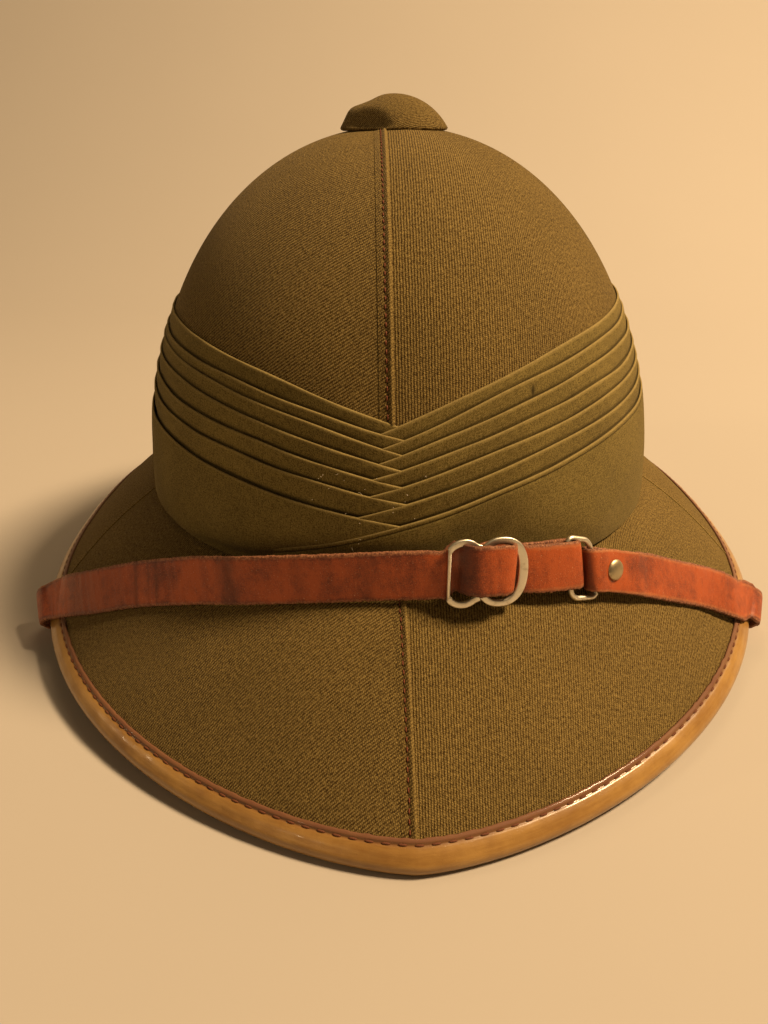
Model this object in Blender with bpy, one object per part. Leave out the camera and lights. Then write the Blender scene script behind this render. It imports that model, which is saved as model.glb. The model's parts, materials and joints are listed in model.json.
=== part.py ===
"""Pith helmet: a cork dome and brim covered in drill cloth, with a leather-bound edge, a pleated cloth band,
a button on top and a leather chin strap that lies across the front.

Sizes are in millimetres and are turned into metres where a mesh is made. The front of the helmet faces -Y, +Z is
up and z = 0 is the surface that it rests on. Angles round the helmet are in radians from the front, positive
towards +X, unless a name or a table says degrees. A "share" is the part of the way from the dome to the edge.
"""

import bmesh
import bpy
import numpy as np
from mathutils import Matrix

MM = 0.001
GAP = 0.3                            # clearance between pieces that touch on the real helmet

# Facets: round the helmet, closer together at its pointed front, and up the dome
SIDES = 60
FRONT_BUNCHING = 0.25
BAND_ROWS = (0.0, 0.36, 0.7, 1.0)                        # shares of the band's height
DOME_ROWS = (0.14, 0.28, 0.42, 0.56, 0.69, 0.81, 0.92)   # shares of the climb from the band to the top
INSIDE_CLIMBS = (0, 5, 11, 20, 34, 50, 67, 82)           # degrees

# Crown: the cloth-covered dome
CROWN_HALF_WIDTH = 96.4
CROWN_FRONT = 115.5                  # middle to the front of the dome's base
CROWN_REAR = 117.5
CROWN_TOP = 173.9
CROWN_BASE = 48.0                    # height of the dome's lower edge at the sides
CROWN_BASE_RISE = 5.5                # how much higher that edge is at the front and the rear
CROWN_WALL = 4.0
CROWN_POWER = 2.1                    # roundness of the dome's profile, 2 for an ellipse

# Brim, from the dome's base to the middle of the round that the binding makes at its edge
EDGE_HALF_WIDTH = 137.6
EDGE_FRONT = 173.4
EDGE_REAR = 182.8
EDGE_FRONT_POWERS = (1.32, 0.855)    # of the sine and the cosine: above 1 draws the outline to a point
EDGE_REAR_POWERS = (0.96, 0.87)
EDGE_LIFT = 11.2                     # how much higher the edge is at the sides
LIFT_PEAK = 103.0                    # degrees from the front to the edge's highest place
LIFT_POWERS = (1.2, 0.8)             # of the swell before and behind that place
REST_FRONT = 10.0                    # the edge lies flat within these degrees of the front
REST_REAR = 14.0                     # and of the rear
BRIM_CAMBER = 3.0
BRIM_AT_CROWN = 4.0                  # thickness
BRIM_AT_EDGE = 3.0
BRIM_DROP = 2.8                      # from the dome's lower edge to the middle of the brim's thickness
BRIM_TOP_ROWS = (0.12, 0.35, 0.6, 0.82)                  # shares
BRIM_UNDER_ROWS = (0.7, 0.4, 0.15)
LEDGE_DEPTH = 5.5                    # of the upright inner face under the dome

# Binding: leather folded round the brim's edge
BINDING_LEATHER = 1.0
BINDING_CLEAR = 0.4
BINDING_LEG = 9.0
BINDING_ROUND = BRIM_AT_EDGE / 2 + BINDING_CLEAR + BINDING_LEATHER
BINDING_TURNS = (55, 18, -30, -70)   # degrees at which its round has its corners
BINDING_FLAT = 0.45                  # how much the edge is pressed flat where the helmet rests
BRIM_RUN = 60.0                      # length of the brim's slope, on which the legs are laid out

# Pleated band: height of each pleat's upper edge at the front and the sides, and how far it stands out
PLEATS = np.array(
    [(98.8, 118.5, 1.70), (95.4, 113.5, 1.80), (91.6, 108.5, 1.90), (87.6, 103.5, 2.00),
     (83.2, 98.0, 2.10), (78.4, 92.5, 2.20), (71.9, 86.5, 2.35)],
    dtype=[("front", float), ("side", float), ("proud", float)],
)
PLEAT_VALLEY = 1.35                  # how far a pleat's lower end stands out, where the next one covers it
PLEAT_TUCK = 0.25                    # how far it reaches down behind the next one
PLEAT_TURN = 75.0                    # the pleats are level behind these degrees
PLEAT_BEND = 0.75                    # below 1, the pleats fall faster near the front
BAND_BELLY = (0.4, 2.1)              # a place on the plain part: share of its height, and how far it stands out
BAND_FOOT = (0.2, 2.6)               # its lower edge: height above the dome's edge, and how far it stands out

# Button: a disc that cups over the dome's top, with the cap of a ball above it
BUTTON_RADIUS = 19.3
BUTTON_HEIGHT = 10.5                 # above the dome's top
BUTTON_LIP = np.array([(9.0, 0.0), (17.6, -0.7), (19.0, -0.35), (19.3, 0.3)],
                      dtype=[("radius", float), ("height", float)])
BUTTON_TURNS = (44, 32, 20, 9)       # degrees off upright, seen from the ball's middle
BUTTON_SIDES = 32

# Chin strap
STRAP_WIDTH = 15.2
STRAP_THICK = 1.6

# Where the strap's lower border runs over the brim: degrees round the helmet, share, height above the brim, and
# the degrees by which the strap leans back from upright
STRAP_ROUTE = np.array(
    [(-69.0, 0.99, 3.4, 12.0), (-63.5, 0.81, 2.1, 16.0), (-52.1, 0.515, 1.3, 27.0), (-40.4, 0.325, 1.3, 20.0),
     (-30.4, 0.222, 1.3, 11.0), (-19.3, 0.142, 1.3, 6.0), (-6.1, 0.100, 1.8, 5.0), (5.3, 0.119, 3.2, 8.0),
     (17.7, 0.159, 3.7, 11.0), (33.1, 0.250, 3.85, 15.0), (44.4, 0.412, 3.0, 34.0), (56.0, 0.657, 2.0, 37.0),
     (62.3, 0.884, 3.5, 27.0), (64.7, 0.985, 3.5, 17.0)],
    dtype=[("angle", float), ("share", float), ("rise", float), ("lean", float)],
)

# How the strap folds round the brim's edge: for its lower and its upper border the degrees round the edge (90 is
# above it, -90 below) and the distance from the edge's middle, and how many degrees round the helmet the upper
# border is ahead
STRAP_FOLD = np.array(
    [(96.0, 4.9, 128.0, 16.6, 2.1), (68.0, 4.6, 119.0, 15.0, 2.3), (42.0, 4.4, 109.0, 13.6, 2.7),
     (8.0, 4.4, 86.0, 9.4, 3.9), (-23.0, 4.4, 46.0, 6.4, 4.5), (-58.0, 4.4, -4.0, 5.3, 4.9),
     (-88.0, 4.7, -64.0, 4.8, 5.0)],
    dtype=[("low_turn", float), ("low_reach", float), ("high_turn", float), ("high_reach", float),
           ("ahead", float)],
)
STRAP_CROSSING = (-70.3, 66.6)       # degrees round the helmet at which the strap meets the edge
UNDER_BRIM = (0.86, 0.66, 0.46, 0.28)                    # shares at which it is placed under the brim
UNDER_CLEAR = 3.2                    # from the brim's lower face to the strap's middle
WALL_HEIGHTS = (39.5, 45.5, 52.0, 58.0, 64.0, 69.0)      # at which it is placed inside the dome
WALL_CLEAR = 0.8
ANCHOR_TURN = 2.5                    # degrees round the helmet from the edge's crossing to the strap's end

# Slide buckle, stamped from sheet. Places are distances along the strap from the middle of the front
BUCKLE_SHEET = 1.2
BUCKLE_OUT = 2.0                     # its middle stands this far off the strap's line
BUCKLE_BAR = (20.7, 0.7)             # middle bar's place and half width
# Half height of the left loop's outline, from its straight bar to the waist
BUCKLE_LEFT = np.array(
    [(10.1, 7.3), (10.9, 8.7), (12.3, 9.7), (14.0, 10.3), (15.9, 10.4), (17.7, 9.9), (19.3, 8.9), (20.7, 8.4)],
    dtype=[("place", float), ("half", float)],
)
BUCKLE_OVAL = (26.5, 8.2, 10.6)      # right loop's middle, half width and half height
BUCKLE_RIM = 2.1
BUCKLE_SIDE = 1.7                    # width of the straight left bar
BUCKLE_WAIST = 6.6                   # half height of both windows beside the middle bar
BUCKLE_ROUND = 2.5                   # power of the right loop's outline
BUCKLE_SIDES = 40
WINDOW_DEPTH = 4.0                   # of the solids that cut the windows

# Ring between the two pieces of the strap
RING_MIDDLE = 56.1
RING_HALF_WIDTH = 5.6                # to the wire's middle
RING_HALF_HEIGHT = 9.6
RING_CORNER = 3.6
RING_WIRE = 0.75                     # half its thickness
RING_OUT = -0.35

# The long piece's way through the buckle and on to the ring, and from the ring back to the buckle's middle bar:
# place, distance off the strap's line, thickness, and how much narrower it is squeezed
SLIDE_PATH = np.array(
    [(6.0, 0.1, 1.6, 0.2), (9.3, 0.1, 1.6, 0.8), (12.0, 0.1, 1.6, 1.3), (13.6, 0.8, 1.6, 1.4), (15.0, 2.4, 1.6, 1.4),
     (16.5, 4.3, 1.6, 1.4), (18.2, 5.3, 1.6, 1.2), (21.2, 5.45, 1.6, 1.0), (26.2, 5.35, 1.6, 1.2),
     (28.2, 4.7, 1.6, 1.7), (29.1, 3.0, 1.6, 1.9), (29.9, 1.1, 1.6, 1.9), (31.4, 0.2, 1.6, 1.6),
     (33.6, 0.1, 1.6, 1.0), (38.0, 0.6, 1.6, 0.5), (44.0, 1.3, 1.6, 0.3), (51.4, 1.8, 1.6, 0.3)],
    dtype=[("place", float), ("out", float), ("thick", float), ("less", float)],
)
RETURN_PATH = np.array(
    [(51.4, -2.5, 1.6, 0.3), (44.0, -2.5, 1.6, 0.4), (34.0, -2.4, 1.6, 0.8), (27.0, -2.4, 1.5, 1.0),
     (23.2, -2.2, 1.1, 2.0), (20.7, -1.5, 0.9, 2.8), (19.2, 0.0, 0.9, 2.8), (18.9, 1.9, 0.9, 2.8),
     (19.5, 3.25, 0.9, 2.8), (20.7, 3.72, 0.9, 2.8), (21.9, 3.25, 0.9, 2.8), (22.5, 1.9, 0.9, 2.8),
     (23.0, 0.6, 0.9, 2.4), (24.2, -0.45, 0.9, 1.4), (25.8, -0.75, 0.9, 1.4), (27.9, -0.8, 0.9, 1.4)],
    dtype=[("place", float), ("out", float), ("thick", float), ("less", float)],
)
LOOP_RADIUS = 2.15                   # of the strap's middle where it goes round the ring
LOOP_LEFT = 53.4                     # place of the long piece's loop round the ring
LOOP_RIGHT = 61.3                    # and of the short piece's
TAB_FRONT = np.array(
    [(87.0, 0.3), (81.0, 1.2), (73.9, 1.3), (70.4, 1.3), (66.5, 1.4), (63.6, 1.8)],
    dtype=[("place", float), ("out", float)],
)
TAB_BACK = np.array(
    [(64.0, -2.5), (65.6, -1.75), (67.2, -1.15), (70.7, -1.1), (74.4, -1.1), (80.5, -1.2)],
    dtype=[("place", float), ("out", float)],
)
STRAP_STEP = 6.0                     # between sections on the smooth stretches
STRAP_SLACK = 0.1                    # off the strap's line there
SKEW_LIMIT = 0.8                     # least share of its width that a skewed section is taken to keep, squared

# Rivets: the holes are a little wider than the shanks
RIVET_PLACE = 69.8
RIVET_HEAD = 3.1
RIVET_SHANK = 1.4
RIVET_DOME = 1.1
RIVET_BACK = 2.6                     # radius of the rivet's flat end behind the strap
RIVET_CLEAR = 0.5
RIVET_SIDES = 16
HOLE_RADIUS = 1.75
ANCHOR_HEIGHT = 62.0
ANCHOR_DEPTH = 2.2                   # how far its shank goes into the dome's wall

# Colour, roughness and metallic value
LOOKS = {
    "drill_cloth": ((0.105, 0.078, 0.036), 0.9, 0.0),
    "band_cloth": ((0.150, 0.118, 0.055), 0.9, 0.0),
    "tan_leather": ((0.47, 0.27, 0.11), 0.4, 0.0),
    "strap_leather": ((0.30, 0.075, 0.025), 0.5, 0.0),
    "white_metal": ((0.72, 0.66, 0.52), 0.35, 1.0),
}


def unit(vectors):
    """Each vector at length 1."""
    return vectors / np.linalg.norm(vectors, axis=-1, keepdims=True)


def stack(x, y, z):
    """Points from their coordinates."""
    return np.stack(np.broadcast_arrays(x, y, z), axis=-1)


def columns(table):
    """A table with named columns as a plain array, one row for each of its rows."""
    return np.stack([table[name] for name in table.dtype.names], axis=1)


# Surfaces of the helmet


def base_height(angle):
    """Height of the dome's lower edge."""
    return CROWN_BASE + CROWN_BASE_RISE * np.cos(angle) ** 2


def base_line(angle, out=0.0):
    """The dome's lower edge, moved outwards."""
    reach = np.where(np.cos(angle) >= 0, CROWN_FRONT, CROWN_REAR) + out
    return stack((CROWN_HALF_WIDTH + out) * np.sin(angle), -reach * np.cos(angle), base_height(angle))


def crown_surface(angle, climb, out=0.0):
    """The dome moved outwards; climb is 0 at its base and a right angle at its top."""
    across = np.cos(climb) ** (2 / CROWN_POWER)
    upward = np.sin(climb) ** (2 / CROWN_POWER)
    foot = base_line(angle, out)
    top = CROWN_TOP + out
    return stack(foot[..., 0] * across, foot[..., 1] * across, foot[..., 2] + (top - foot[..., 2]) * upward)


def crown_at_height(angle, height, out=0.0):
    """The point of the dome at a height, moved outwards on the level; below its base the wall is upright."""
    foot = base_height(angle)
    share = np.clip((height - foot) / (CROWN_TOP - foot), 0, 1)
    point = crown_surface(angle, np.arcsin(share ** (CROWN_POWER / 2)))
    outward = unit(stack(point[..., 0] / CROWN_HALF_WIDTH**2, point[..., 1] / CROWN_FRONT**2, 0.0))
    point = point + outward * np.asarray(out)[..., None]
    return stack(point[..., 0], point[..., 1], height)


def edge_height(angle):
    """Height of the edge's middle: flat at the front and the rear, with one smooth swell along each side."""
    turn = np.degrees(np.abs(angle))
    ahead = turn < LIFT_PEAK
    front = (turn - REST_FRONT) / (LIFT_PEAK - REST_FRONT)
    rear = (180 - REST_REAR - turn) / (180 - REST_REAR - LIFT_PEAK)
    share = np.clip(np.where(ahead, front, rear), 0, 1)
    swell = ((1 - np.cos(np.pi * share)) / 2) ** np.where(ahead, *LIFT_POWERS)
    return BINDING_ROUND - BINDING_FLAT + EDGE_LIFT * swell


def edge_line(angle):
    """The brim's edge: bluntly pointed in front, round behind."""
    ahead = np.cos(angle) >= 0
    sine, cosine = np.abs(np.sin(angle)), np.abs(np.cos(angle))
    across = sine ** np.where(ahead, EDGE_FRONT_POWERS[0], EDGE_REAR_POWERS[0])
    y = np.where(ahead, -EDGE_FRONT * cosine ** EDGE_FRONT_POWERS[1], EDGE_REAR * cosine ** EDGE_REAR_POWERS[1])
    return stack(np.sign(np.sin(angle)) * EDGE_HALF_WIDTH * across, y, edge_height(angle))


def brim_middle(angle, share):
    """Middle of the brim's thickness: straight from the dome to the edge, plus a camber."""
    share = np.asarray(share, float)[..., None]
    inner = base_line(angle) - [0, 0, BRIM_DROP]
    camber = np.array([0, 0, BRIM_CAMBER]) * np.sin(np.pi * share)
    return inner * (1 - share) + edge_line(angle) * share + camber


def brim_axes(angle, share):
    """Directions along the brim's ring, outwards along its slope, and square to its upper face."""
    angle, share = np.broadcast_arrays(np.asarray(angle, float), np.asarray(share, float))
    step = 1e-4
    along = unit(brim_middle(angle + step, share) - brim_middle(angle - step, share))
    slope = unit(brim_middle(angle, share + step) - brim_middle(angle, share - step))
    face = unit(np.cross(slope, along))
    return along, slope, face * np.sign(face[..., 2:])


def brim_face(angle, share, side, off=0.0):
    """A point on the brim's upper face (side 1) or lower face (side -1), moved off it."""
    half = (BRIM_AT_CROWN + (BRIM_AT_EDGE - BRIM_AT_CROWN) * np.asarray(share, float)) / 2
    return brim_middle(angle, share) + brim_axes(angle, share)[2] * side * (half + off)[..., None]


def helmet_angles():
    """Angles round the helmet at which the pieces have their sections."""
    even = np.linspace(-np.pi, np.pi, SIDES, endpoint=False)
    return even - FRONT_BUNCHING * np.sin(even)


def pleat_height(angle, row):
    """Height of a pleat's upper edge, which falls to a point at the front."""
    turn = np.minimum(np.abs(angle) * 90 / PLEAT_TURN, np.pi / 2)
    return row["front"] + (row["side"] - row["front"]) * np.sin(turn) ** PLEAT_BEND


# Meshes and materials


def make_material(name):
    """A material from its row of looks."""
    colour, roughness, metallic = LOOKS[name]
    material = bpy.data.materials.new(name)
    material.use_nodes = True
    shader = material.node_tree.nodes["Principled BSDF"]
    shader.inputs["Base Color"].default_value = (*colour, 1.0)
    shader.inputs["Roughness"].default_value = roughness
    shader.inputs["Metallic"].default_value = metallic
    return material


def add_object(name, data, material):
    """Links an object and parents it to the helmet's empty."""
    data.materials.append(material)
    made = bpy.data.objects.new(name, data)
    made.parent = bpy.data.objects["helmet"]
    bpy.context.scene.collection.objects.link(made)
    return made


def finish(name, work, material):
    """Turns a bmesh into an object with its faces pointing out and smooth round edges."""
    bmesh.ops.recalc_face_normals(work, faces=work.faces)
    if work.calc_volume(signed=True) < 0:
        bmesh.ops.reverse_faces(work, faces=work.faces)
    mesh = bpy.data.meshes.new(name)
    work.to_mesh(mesh)
    work.free()
    mesh.shade_smooth()
    mesh.set_sharp_from_angle(angle=np.radians(40))
    return add_object(name, mesh, material)


def loft(name, sections, closed, material):
    """A solid through sections, an array of [section, corner, xyz]: a closed ring, or a bar with flat ends."""
    work = bmesh.new()
    loops = [[work.verts.new(corner) for corner in section * MM] for section in sections]
    pairs = list(zip(loops, loops[1:]))
    if closed:
        pairs.append((loops[-1], loops[0]))
    else:
        work.faces.new(loops[0])
        work.faces.new(loops[-1])
    for one, other in pairs:
        for k in range(len(one)):
            work.faces.new((one[k - 1], one[k], other[k], other[k - 1]))
    return finish(name, work, material)


def turned(name, profile, sides, material):
    """A profile of radius and height rows, from one end of the axis to the other, spun round Z."""
    work = bmesh.new()
    points = [(0.0, profile[0][1]), *profile, (0.0, profile[-1][1])]
    line = [work.verts.new((radius * MM, 0, height * MM)) for radius, height in points]
    edges = [work.edges.new(pair) for pair in zip(line, line[1:])]
    bmesh.ops.spin(work, geom=line + edges, cent=(0, 0, 0), axis=(0, 0, 1), angle=2 * np.pi, steps=sides)
    bmesh.ops.remove_doubles(work, verts=work.verts, dist=1e-7)
    return finish(name, work, material)


def plate(name, outline, thick, material):
    """A flat outline of x and y rows, thickened equally to both sides."""
    work = bmesh.new()
    face = work.faces.new([work.verts.new((x * MM, y * MM, -thick * MM / 2)) for x, y in outline])
    raised = bmesh.ops.extrude_face_region(work, geom=[face])["geom"]
    moved = [part for part in raised if isinstance(part, bmesh.types.BMVert)]
    bmesh.ops.translate(work, verts=moved, vec=(0, 0, thick * MM))
    return finish(name, work, material)


def put(made, middle, x_axis, y_axis, z_axis):
    """Places an object by its middle and the directions of its own axes."""
    turn = Matrix([x_axis, y_axis, z_axis]).transposed()
    made.matrix_basis = Matrix.Translation(middle * MM) @ turn.to_4x4()


def combine(target, tool, operation):
    """Joins a helper solid to a piece (UNION) or cuts it out (DIFFERENCE)."""
    tool.hide_render = True
    tool.display_type = "WIRE"
    step = target.modifiers.new(tool.name, "BOOLEAN")
    step.operation = operation
    step.object = tool


# Crown, brim, binding, band and button


def make_crown(material):
    """A hollow dome; its outside has the band's own rows of points where the band lies on it."""
    angle = helmet_angles()
    top, foot = pleat_height(angle, PLEATS[0]), base_height(angle)
    rows = [crown_at_height(angle, foot + share * (top - foot)) for share in BAND_ROWS]
    start = np.arcsin(((top - foot) / (CROWN_TOP - foot)) ** (CROWN_POWER / 2))
    rows += [crown_surface(angle, start + share * (np.pi / 2 - start)) for share in DOME_ROWS]
    inside = [crown_surface(angle, np.full(SIDES, climb), -CROWN_WALL) for climb in np.radians(INSIDE_CLIMBS)]
    return loft("crown", np.array(rows[::-1] + inside), False, material)


def make_brim(material):
    """A ring with a level ledge inside, which the dome stands on, and a thin round edge inside the binding."""
    angle = helmet_angles()
    inside, outside = base_line(angle, -CROWN_WALL), base_line(angle, GAP)
    along, slope, face = brim_axes(angle, 1.0)
    edge, half = edge_line(angle), BRIM_AT_EDGE / 2
    nose = edge + slope * half * 0.9
    corners = [inside - [0, 0, GAP], outside - [0, 0, GAP]]
    corners += [brim_face(angle, share, 1) for share in BRIM_TOP_ROWS]
    corners += [edge + face * half, nose + face * half * 0.45, nose - face * half * 0.45, edge - face * half]
    corners += [brim_face(angle, share, -1) for share in BRIM_UNDER_ROWS]
    corners.append(inside - [0, 0, GAP + LEDGE_DEPTH])
    return loft("brim", np.stack(corners, axis=1), True, material)


def make_binding(material):
    """Leather folded round the edge; its lower side is pressed level where the helmet rests."""
    angle = helmet_angles()
    along, slope, face = brim_axes(angle, 1.0)
    inner, leg = BINDING_ROUND - BINDING_LEATHER, BINDING_ROUND - BINDING_LEG
    section = [(leg, BINDING_ROUND), (0.0, BINDING_ROUND)]
    section += [(BINDING_ROUND * np.cos(turn), BINDING_ROUND * np.sin(turn)) for turn in np.radians(BINDING_TURNS)]
    section += [(-inner, -BINDING_ROUND), (leg, -BINDING_ROUND), (leg, -inner), (0.0, -inner)]
    section += [(inner, -inner / 2), (inner, inner / 2), (0.0, inner), (leg, inner)]
    corners = []
    for out, up in section:
        foot = brim_middle(angle, 1 + out / BRIM_RUN) if out < 0 else edge_line(angle) + slope * out
        corners.append(foot + face * up)
    corners = np.stack(corners, axis=1)
    corners[..., 2] = np.maximum(corners[..., 2], 0.0)
    return loft("brim_binding", corners, True, material)


def make_pugaree(material):
    """A band whose outside steps out at each pleat's upper edge, like shingles laid from the top down."""
    angle = helmet_angles()
    foot, top = base_height(angle), pleat_height(angle, PLEATS[0])
    corners = []
    for row, next_row in zip(PLEATS, PLEATS[1:]):
        corners.append(crown_at_height(angle, pleat_height(angle, row), row["proud"]))
        covered = pleat_height(angle, next_row) + PLEAT_TUCK
        corners.append(crown_at_height(angle, covered, PLEAT_VALLEY))
    lowest = pleat_height(angle, PLEATS[-1])
    corners.append(crown_at_height(angle, lowest, PLEATS["proud"][-1]))
    corners.append(crown_at_height(angle, foot + BAND_BELLY[0] * (lowest - foot), BAND_BELLY[1]))
    corners.append(crown_at_height(angle, foot + BAND_FOOT[0], BAND_FOOT[1]))
    corners.append(crown_at_height(angle, foot + BAND_FOOT[0], GAP))
    corners += [crown_at_height(angle, foot + share * (top - foot), GAP) for share in BAND_ROWS[1:]]
    return loft("pugaree", np.stack(corners, axis=1), True, material)


def make_button(material):
    """A disc with a rounded lip, hollowed below, and the cap of a ball above it."""
    lip = columns(BUTTON_LIP)
    rise = BUTTON_HEIGHT - lip[-1, 1]
    ball = (BUTTON_RADIUS**2 + rise**2) / (2 * rise)
    profile = [tuple(row) for row in lip]
    for turn in np.radians(BUTTON_TURNS):
        profile.append((ball * np.sin(turn), BUTTON_HEIGHT - ball * (1 - np.cos(turn))))
    made = turned("crown_button", profile, BUTTON_SIDES, material)
    made.location.z = CROWN_TOP * MM
    return made


# Chin strap


def smooth(rows, between):
    """More rows on a smooth curve through the given ones (Catmull-Rom)."""
    rows = np.asarray(rows, float)
    ends = np.vstack([2 * rows[:1] - rows[1:2], rows, 2 * rows[-1:] - rows[-2:-1]])
    a, b, c, d = (ends[k : len(ends) - 3 + k, None] for k in range(4))
    t = (np.arange(between) / between)[None, :, None]
    curve = 2 * b + (c - a) * t + (2 * a - 5 * b + 4 * c - d) * t**2 + (3 * b - a - 3 * c + d) * t**3
    return np.vstack([curve.reshape(-1, rows.shape[1]) / 2, rows[-1:]])


def directions(points):
    """Direction of a line of points at each one, halfway between its two neighbours' directions."""
    steps = unit(np.diff(points, axis=0))
    return unit(np.vstack([steps[:1], steps[:-1] + steps[1:], steps[-1:]]))


def square_to(vectors, axis):
    """What is left of the vectors when their part along an axis is taken away, at length 1."""
    return unit(vectors - axis * np.sum(vectors * axis, axis=-1, keepdims=True))


class Route:
    """The strap's line over the front; places are distances along it from the middle of the front."""

    def __init__(self):
        angle, share, rise, lean = smooth(columns(STRAP_ROUTE), 10).T
        low = brim_face(np.radians(angle), share, 1) + stack(0.0, 0.0, rise)
        lean = np.radians(lean)[:, None]
        along = directions(low)
        level = unit(along * [1, 1, 0])
        rearward = stack(-level[:, 1], level[:, 0], 0.0)
        self.upward = square_to(np.cos(lean) * [0, 0, 1] + np.sin(lean) * rearward, along)
        self.middle = low + self.upward * STRAP_WIDTH / 2
        steps = np.linalg.norm(np.diff(self.middle, axis=0), axis=1)
        self.place = np.concatenate([[0], np.cumsum(steps)])
        self.place -= np.interp(0.0, self.middle[:, 0], self.place)

    def read(self, values, place):
        """Values of the line at places."""
        return np.stack([np.interp(place, self.place, values[:, k]) for k in range(3)], axis=-1)

    def at(self, place):
        """The strap's middle, its direction, its upward direction and its outward one at places."""
        place = np.asarray(place, float)
        along = unit(self.read(self.middle, place + 2) - self.read(self.middle, place - 2))
        upward = square_to(self.read(self.upward, place), along)
        return self.read(self.middle, place), along, upward, np.cross(along, upward)

    def rows(self, place, out=STRAP_SLACK, thick=STRAP_THICK, less=0.0):
        """Strap rows (middle, direction across, thickness, width) at places, off the strap's line."""
        middle, along, upward, outward = self.at(place)
        sizes = np.stack(np.broadcast_arrays(out, thick, STRAP_WIDTH - less, place), axis=1)
        return np.hstack([middle + outward * sizes[:, :1], upward, sizes[:, 1:3]])


def loop_round(place, start, end):
    """Places and distances off the strap's line on the half round that the strap makes round the ring."""
    turn = np.radians(np.linspace(start, end, 7))
    return np.stack([place + LOOP_RADIUS * np.cos(turn), RING_OUT + LOOP_RADIUS * np.sin(turn)], axis=1)


def fold_row(side, crossing, fold):
    """The strap at one turn of its fold round the brim's edge, from its two borders."""
    borders = []
    for border, ahead in (("low", 0.0), ("high", fold["ahead"])):
        angle = np.radians(crossing + side * ahead)
        along, slope, face = brim_axes(angle, 1.0)
        turn = np.radians(fold[border + "_turn"])
        borders.append(edge_line(angle) + (np.cos(turn) * slope + np.sin(turn) * face) * fold[border + "_reach"])
    across = unit(borders[1] - borders[0])
    return borders[0] + across * STRAP_WIDTH / 2, across


def hidden_rows(route, place, side):
    """The strap from a place on the brim's top, round the edge and under the brim, to its end inside the dome."""
    crossing = STRAP_CROSSING[0 if side < 0 else 1]
    angle = np.radians(crossing + side * ANCHOR_TURN)
    rows = [fold_row(side, crossing, fold) for fold in STRAP_FOLD]
    rows += [(brim_face(angle, share, -1, UNDER_CLEAR), side * brim_axes(angle, share)[0]) for share in UNDER_BRIM]
    inward = -(CROWN_WALL + WALL_CLEAR + STRAP_THICK / 2)
    across = side * brim_axes(angle, 0.0)[0]
    rows += [(crown_at_height(angle, height, inward), across) for height in WALL_HEIGHTS]
    rows = [np.hstack([middle, across, STRAP_THICK, STRAP_WIDTH]) for middle, across in rows]
    return smooth(np.vstack([route.rows([place]), rows]), 2)[1:]


def strap_sections(rows):
    """Four corners at each strap row; a section that is skewed to the strap's direction keeps its width."""
    middle, across, thick, width = rows[:, :3], unit(rows[:, 3:6]), rows[:, 6:7], rows[:, 7:8]
    along = directions(middle)
    skew = np.sum(across * along, axis=1, keepdims=True)
    half = across / np.sqrt(np.clip(1 - skew**2, SKEW_LIMIT, 1)) * width / 2
    depth = unit(np.cross(along, across)) * thick / 2
    return np.stack([middle - half - depth, middle + half - depth, middle + half + depth, middle - half + depth], 1)


def make_chin_strap(route, material):
    """The long piece, from inside the dome at -X to the buckle's middle bar."""
    front = np.arange(route.place[0], SLIDE_PATH["place"][0] - STRAP_STEP / 2, STRAP_STEP)
    loop = loop_round(LOOP_LEFT, 90, -90)
    loop = np.hstack([loop, np.tile([STRAP_THICK, SLIDE_PATH["less"][-1]], (len(loop), 1))])
    way = np.vstack([smooth(columns(SLIDE_PATH), 2), loop, smooth(columns(RETURN_PATH), 2)])
    hidden = hidden_rows(route, front[0], -1)
    rows = np.vstack([hidden[::-1], route.rows(front), route.rows(*way.T)])
    return loft("chin_strap", strap_sections(rows), False, material)


def make_tab(route, material):
    """The short piece, from inside the dome at +X round the ring to its riveted end."""
    front = np.arange(route.place[-1], TAB_FRONT["place"][0] + STRAP_STEP / 2, -STRAP_STEP)
    way = np.vstack([smooth(columns(TAB_FRONT), 2), loop_round(LOOP_RIGHT, 90, 270), smooth(columns(TAB_BACK), 2)])
    hidden = hidden_rows(route, front[0], 1)
    rows = np.vstack([hidden[::-1], route.rows(front), route.rows(*way.T)])
    return loft("chin_strap_tab", strap_sections(rows), False, material)


# Buckle, ring and rivets


def oval(middle, half_width, half_height):
    """An outline between an ellipse and a rectangle."""
    turn = np.linspace(0, 2 * np.pi, BUCKLE_SIDES, endpoint=False)
    x = np.sign(np.cos(turn)) * np.abs(np.cos(turn)) ** (2 / BUCKLE_ROUND) * half_width + middle
    y = np.sign(np.sin(turn)) * np.abs(np.sin(turn)) ** (2 / BUCKLE_ROUND) * half_height
    return np.stack([x, y], axis=1)


def mirrored(x, y):
    """An outline from its upper half, mirrored below."""
    upper = np.stack([x, y], axis=1)
    return np.concatenate([upper, (upper * [1, -1])[::-1]])


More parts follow.
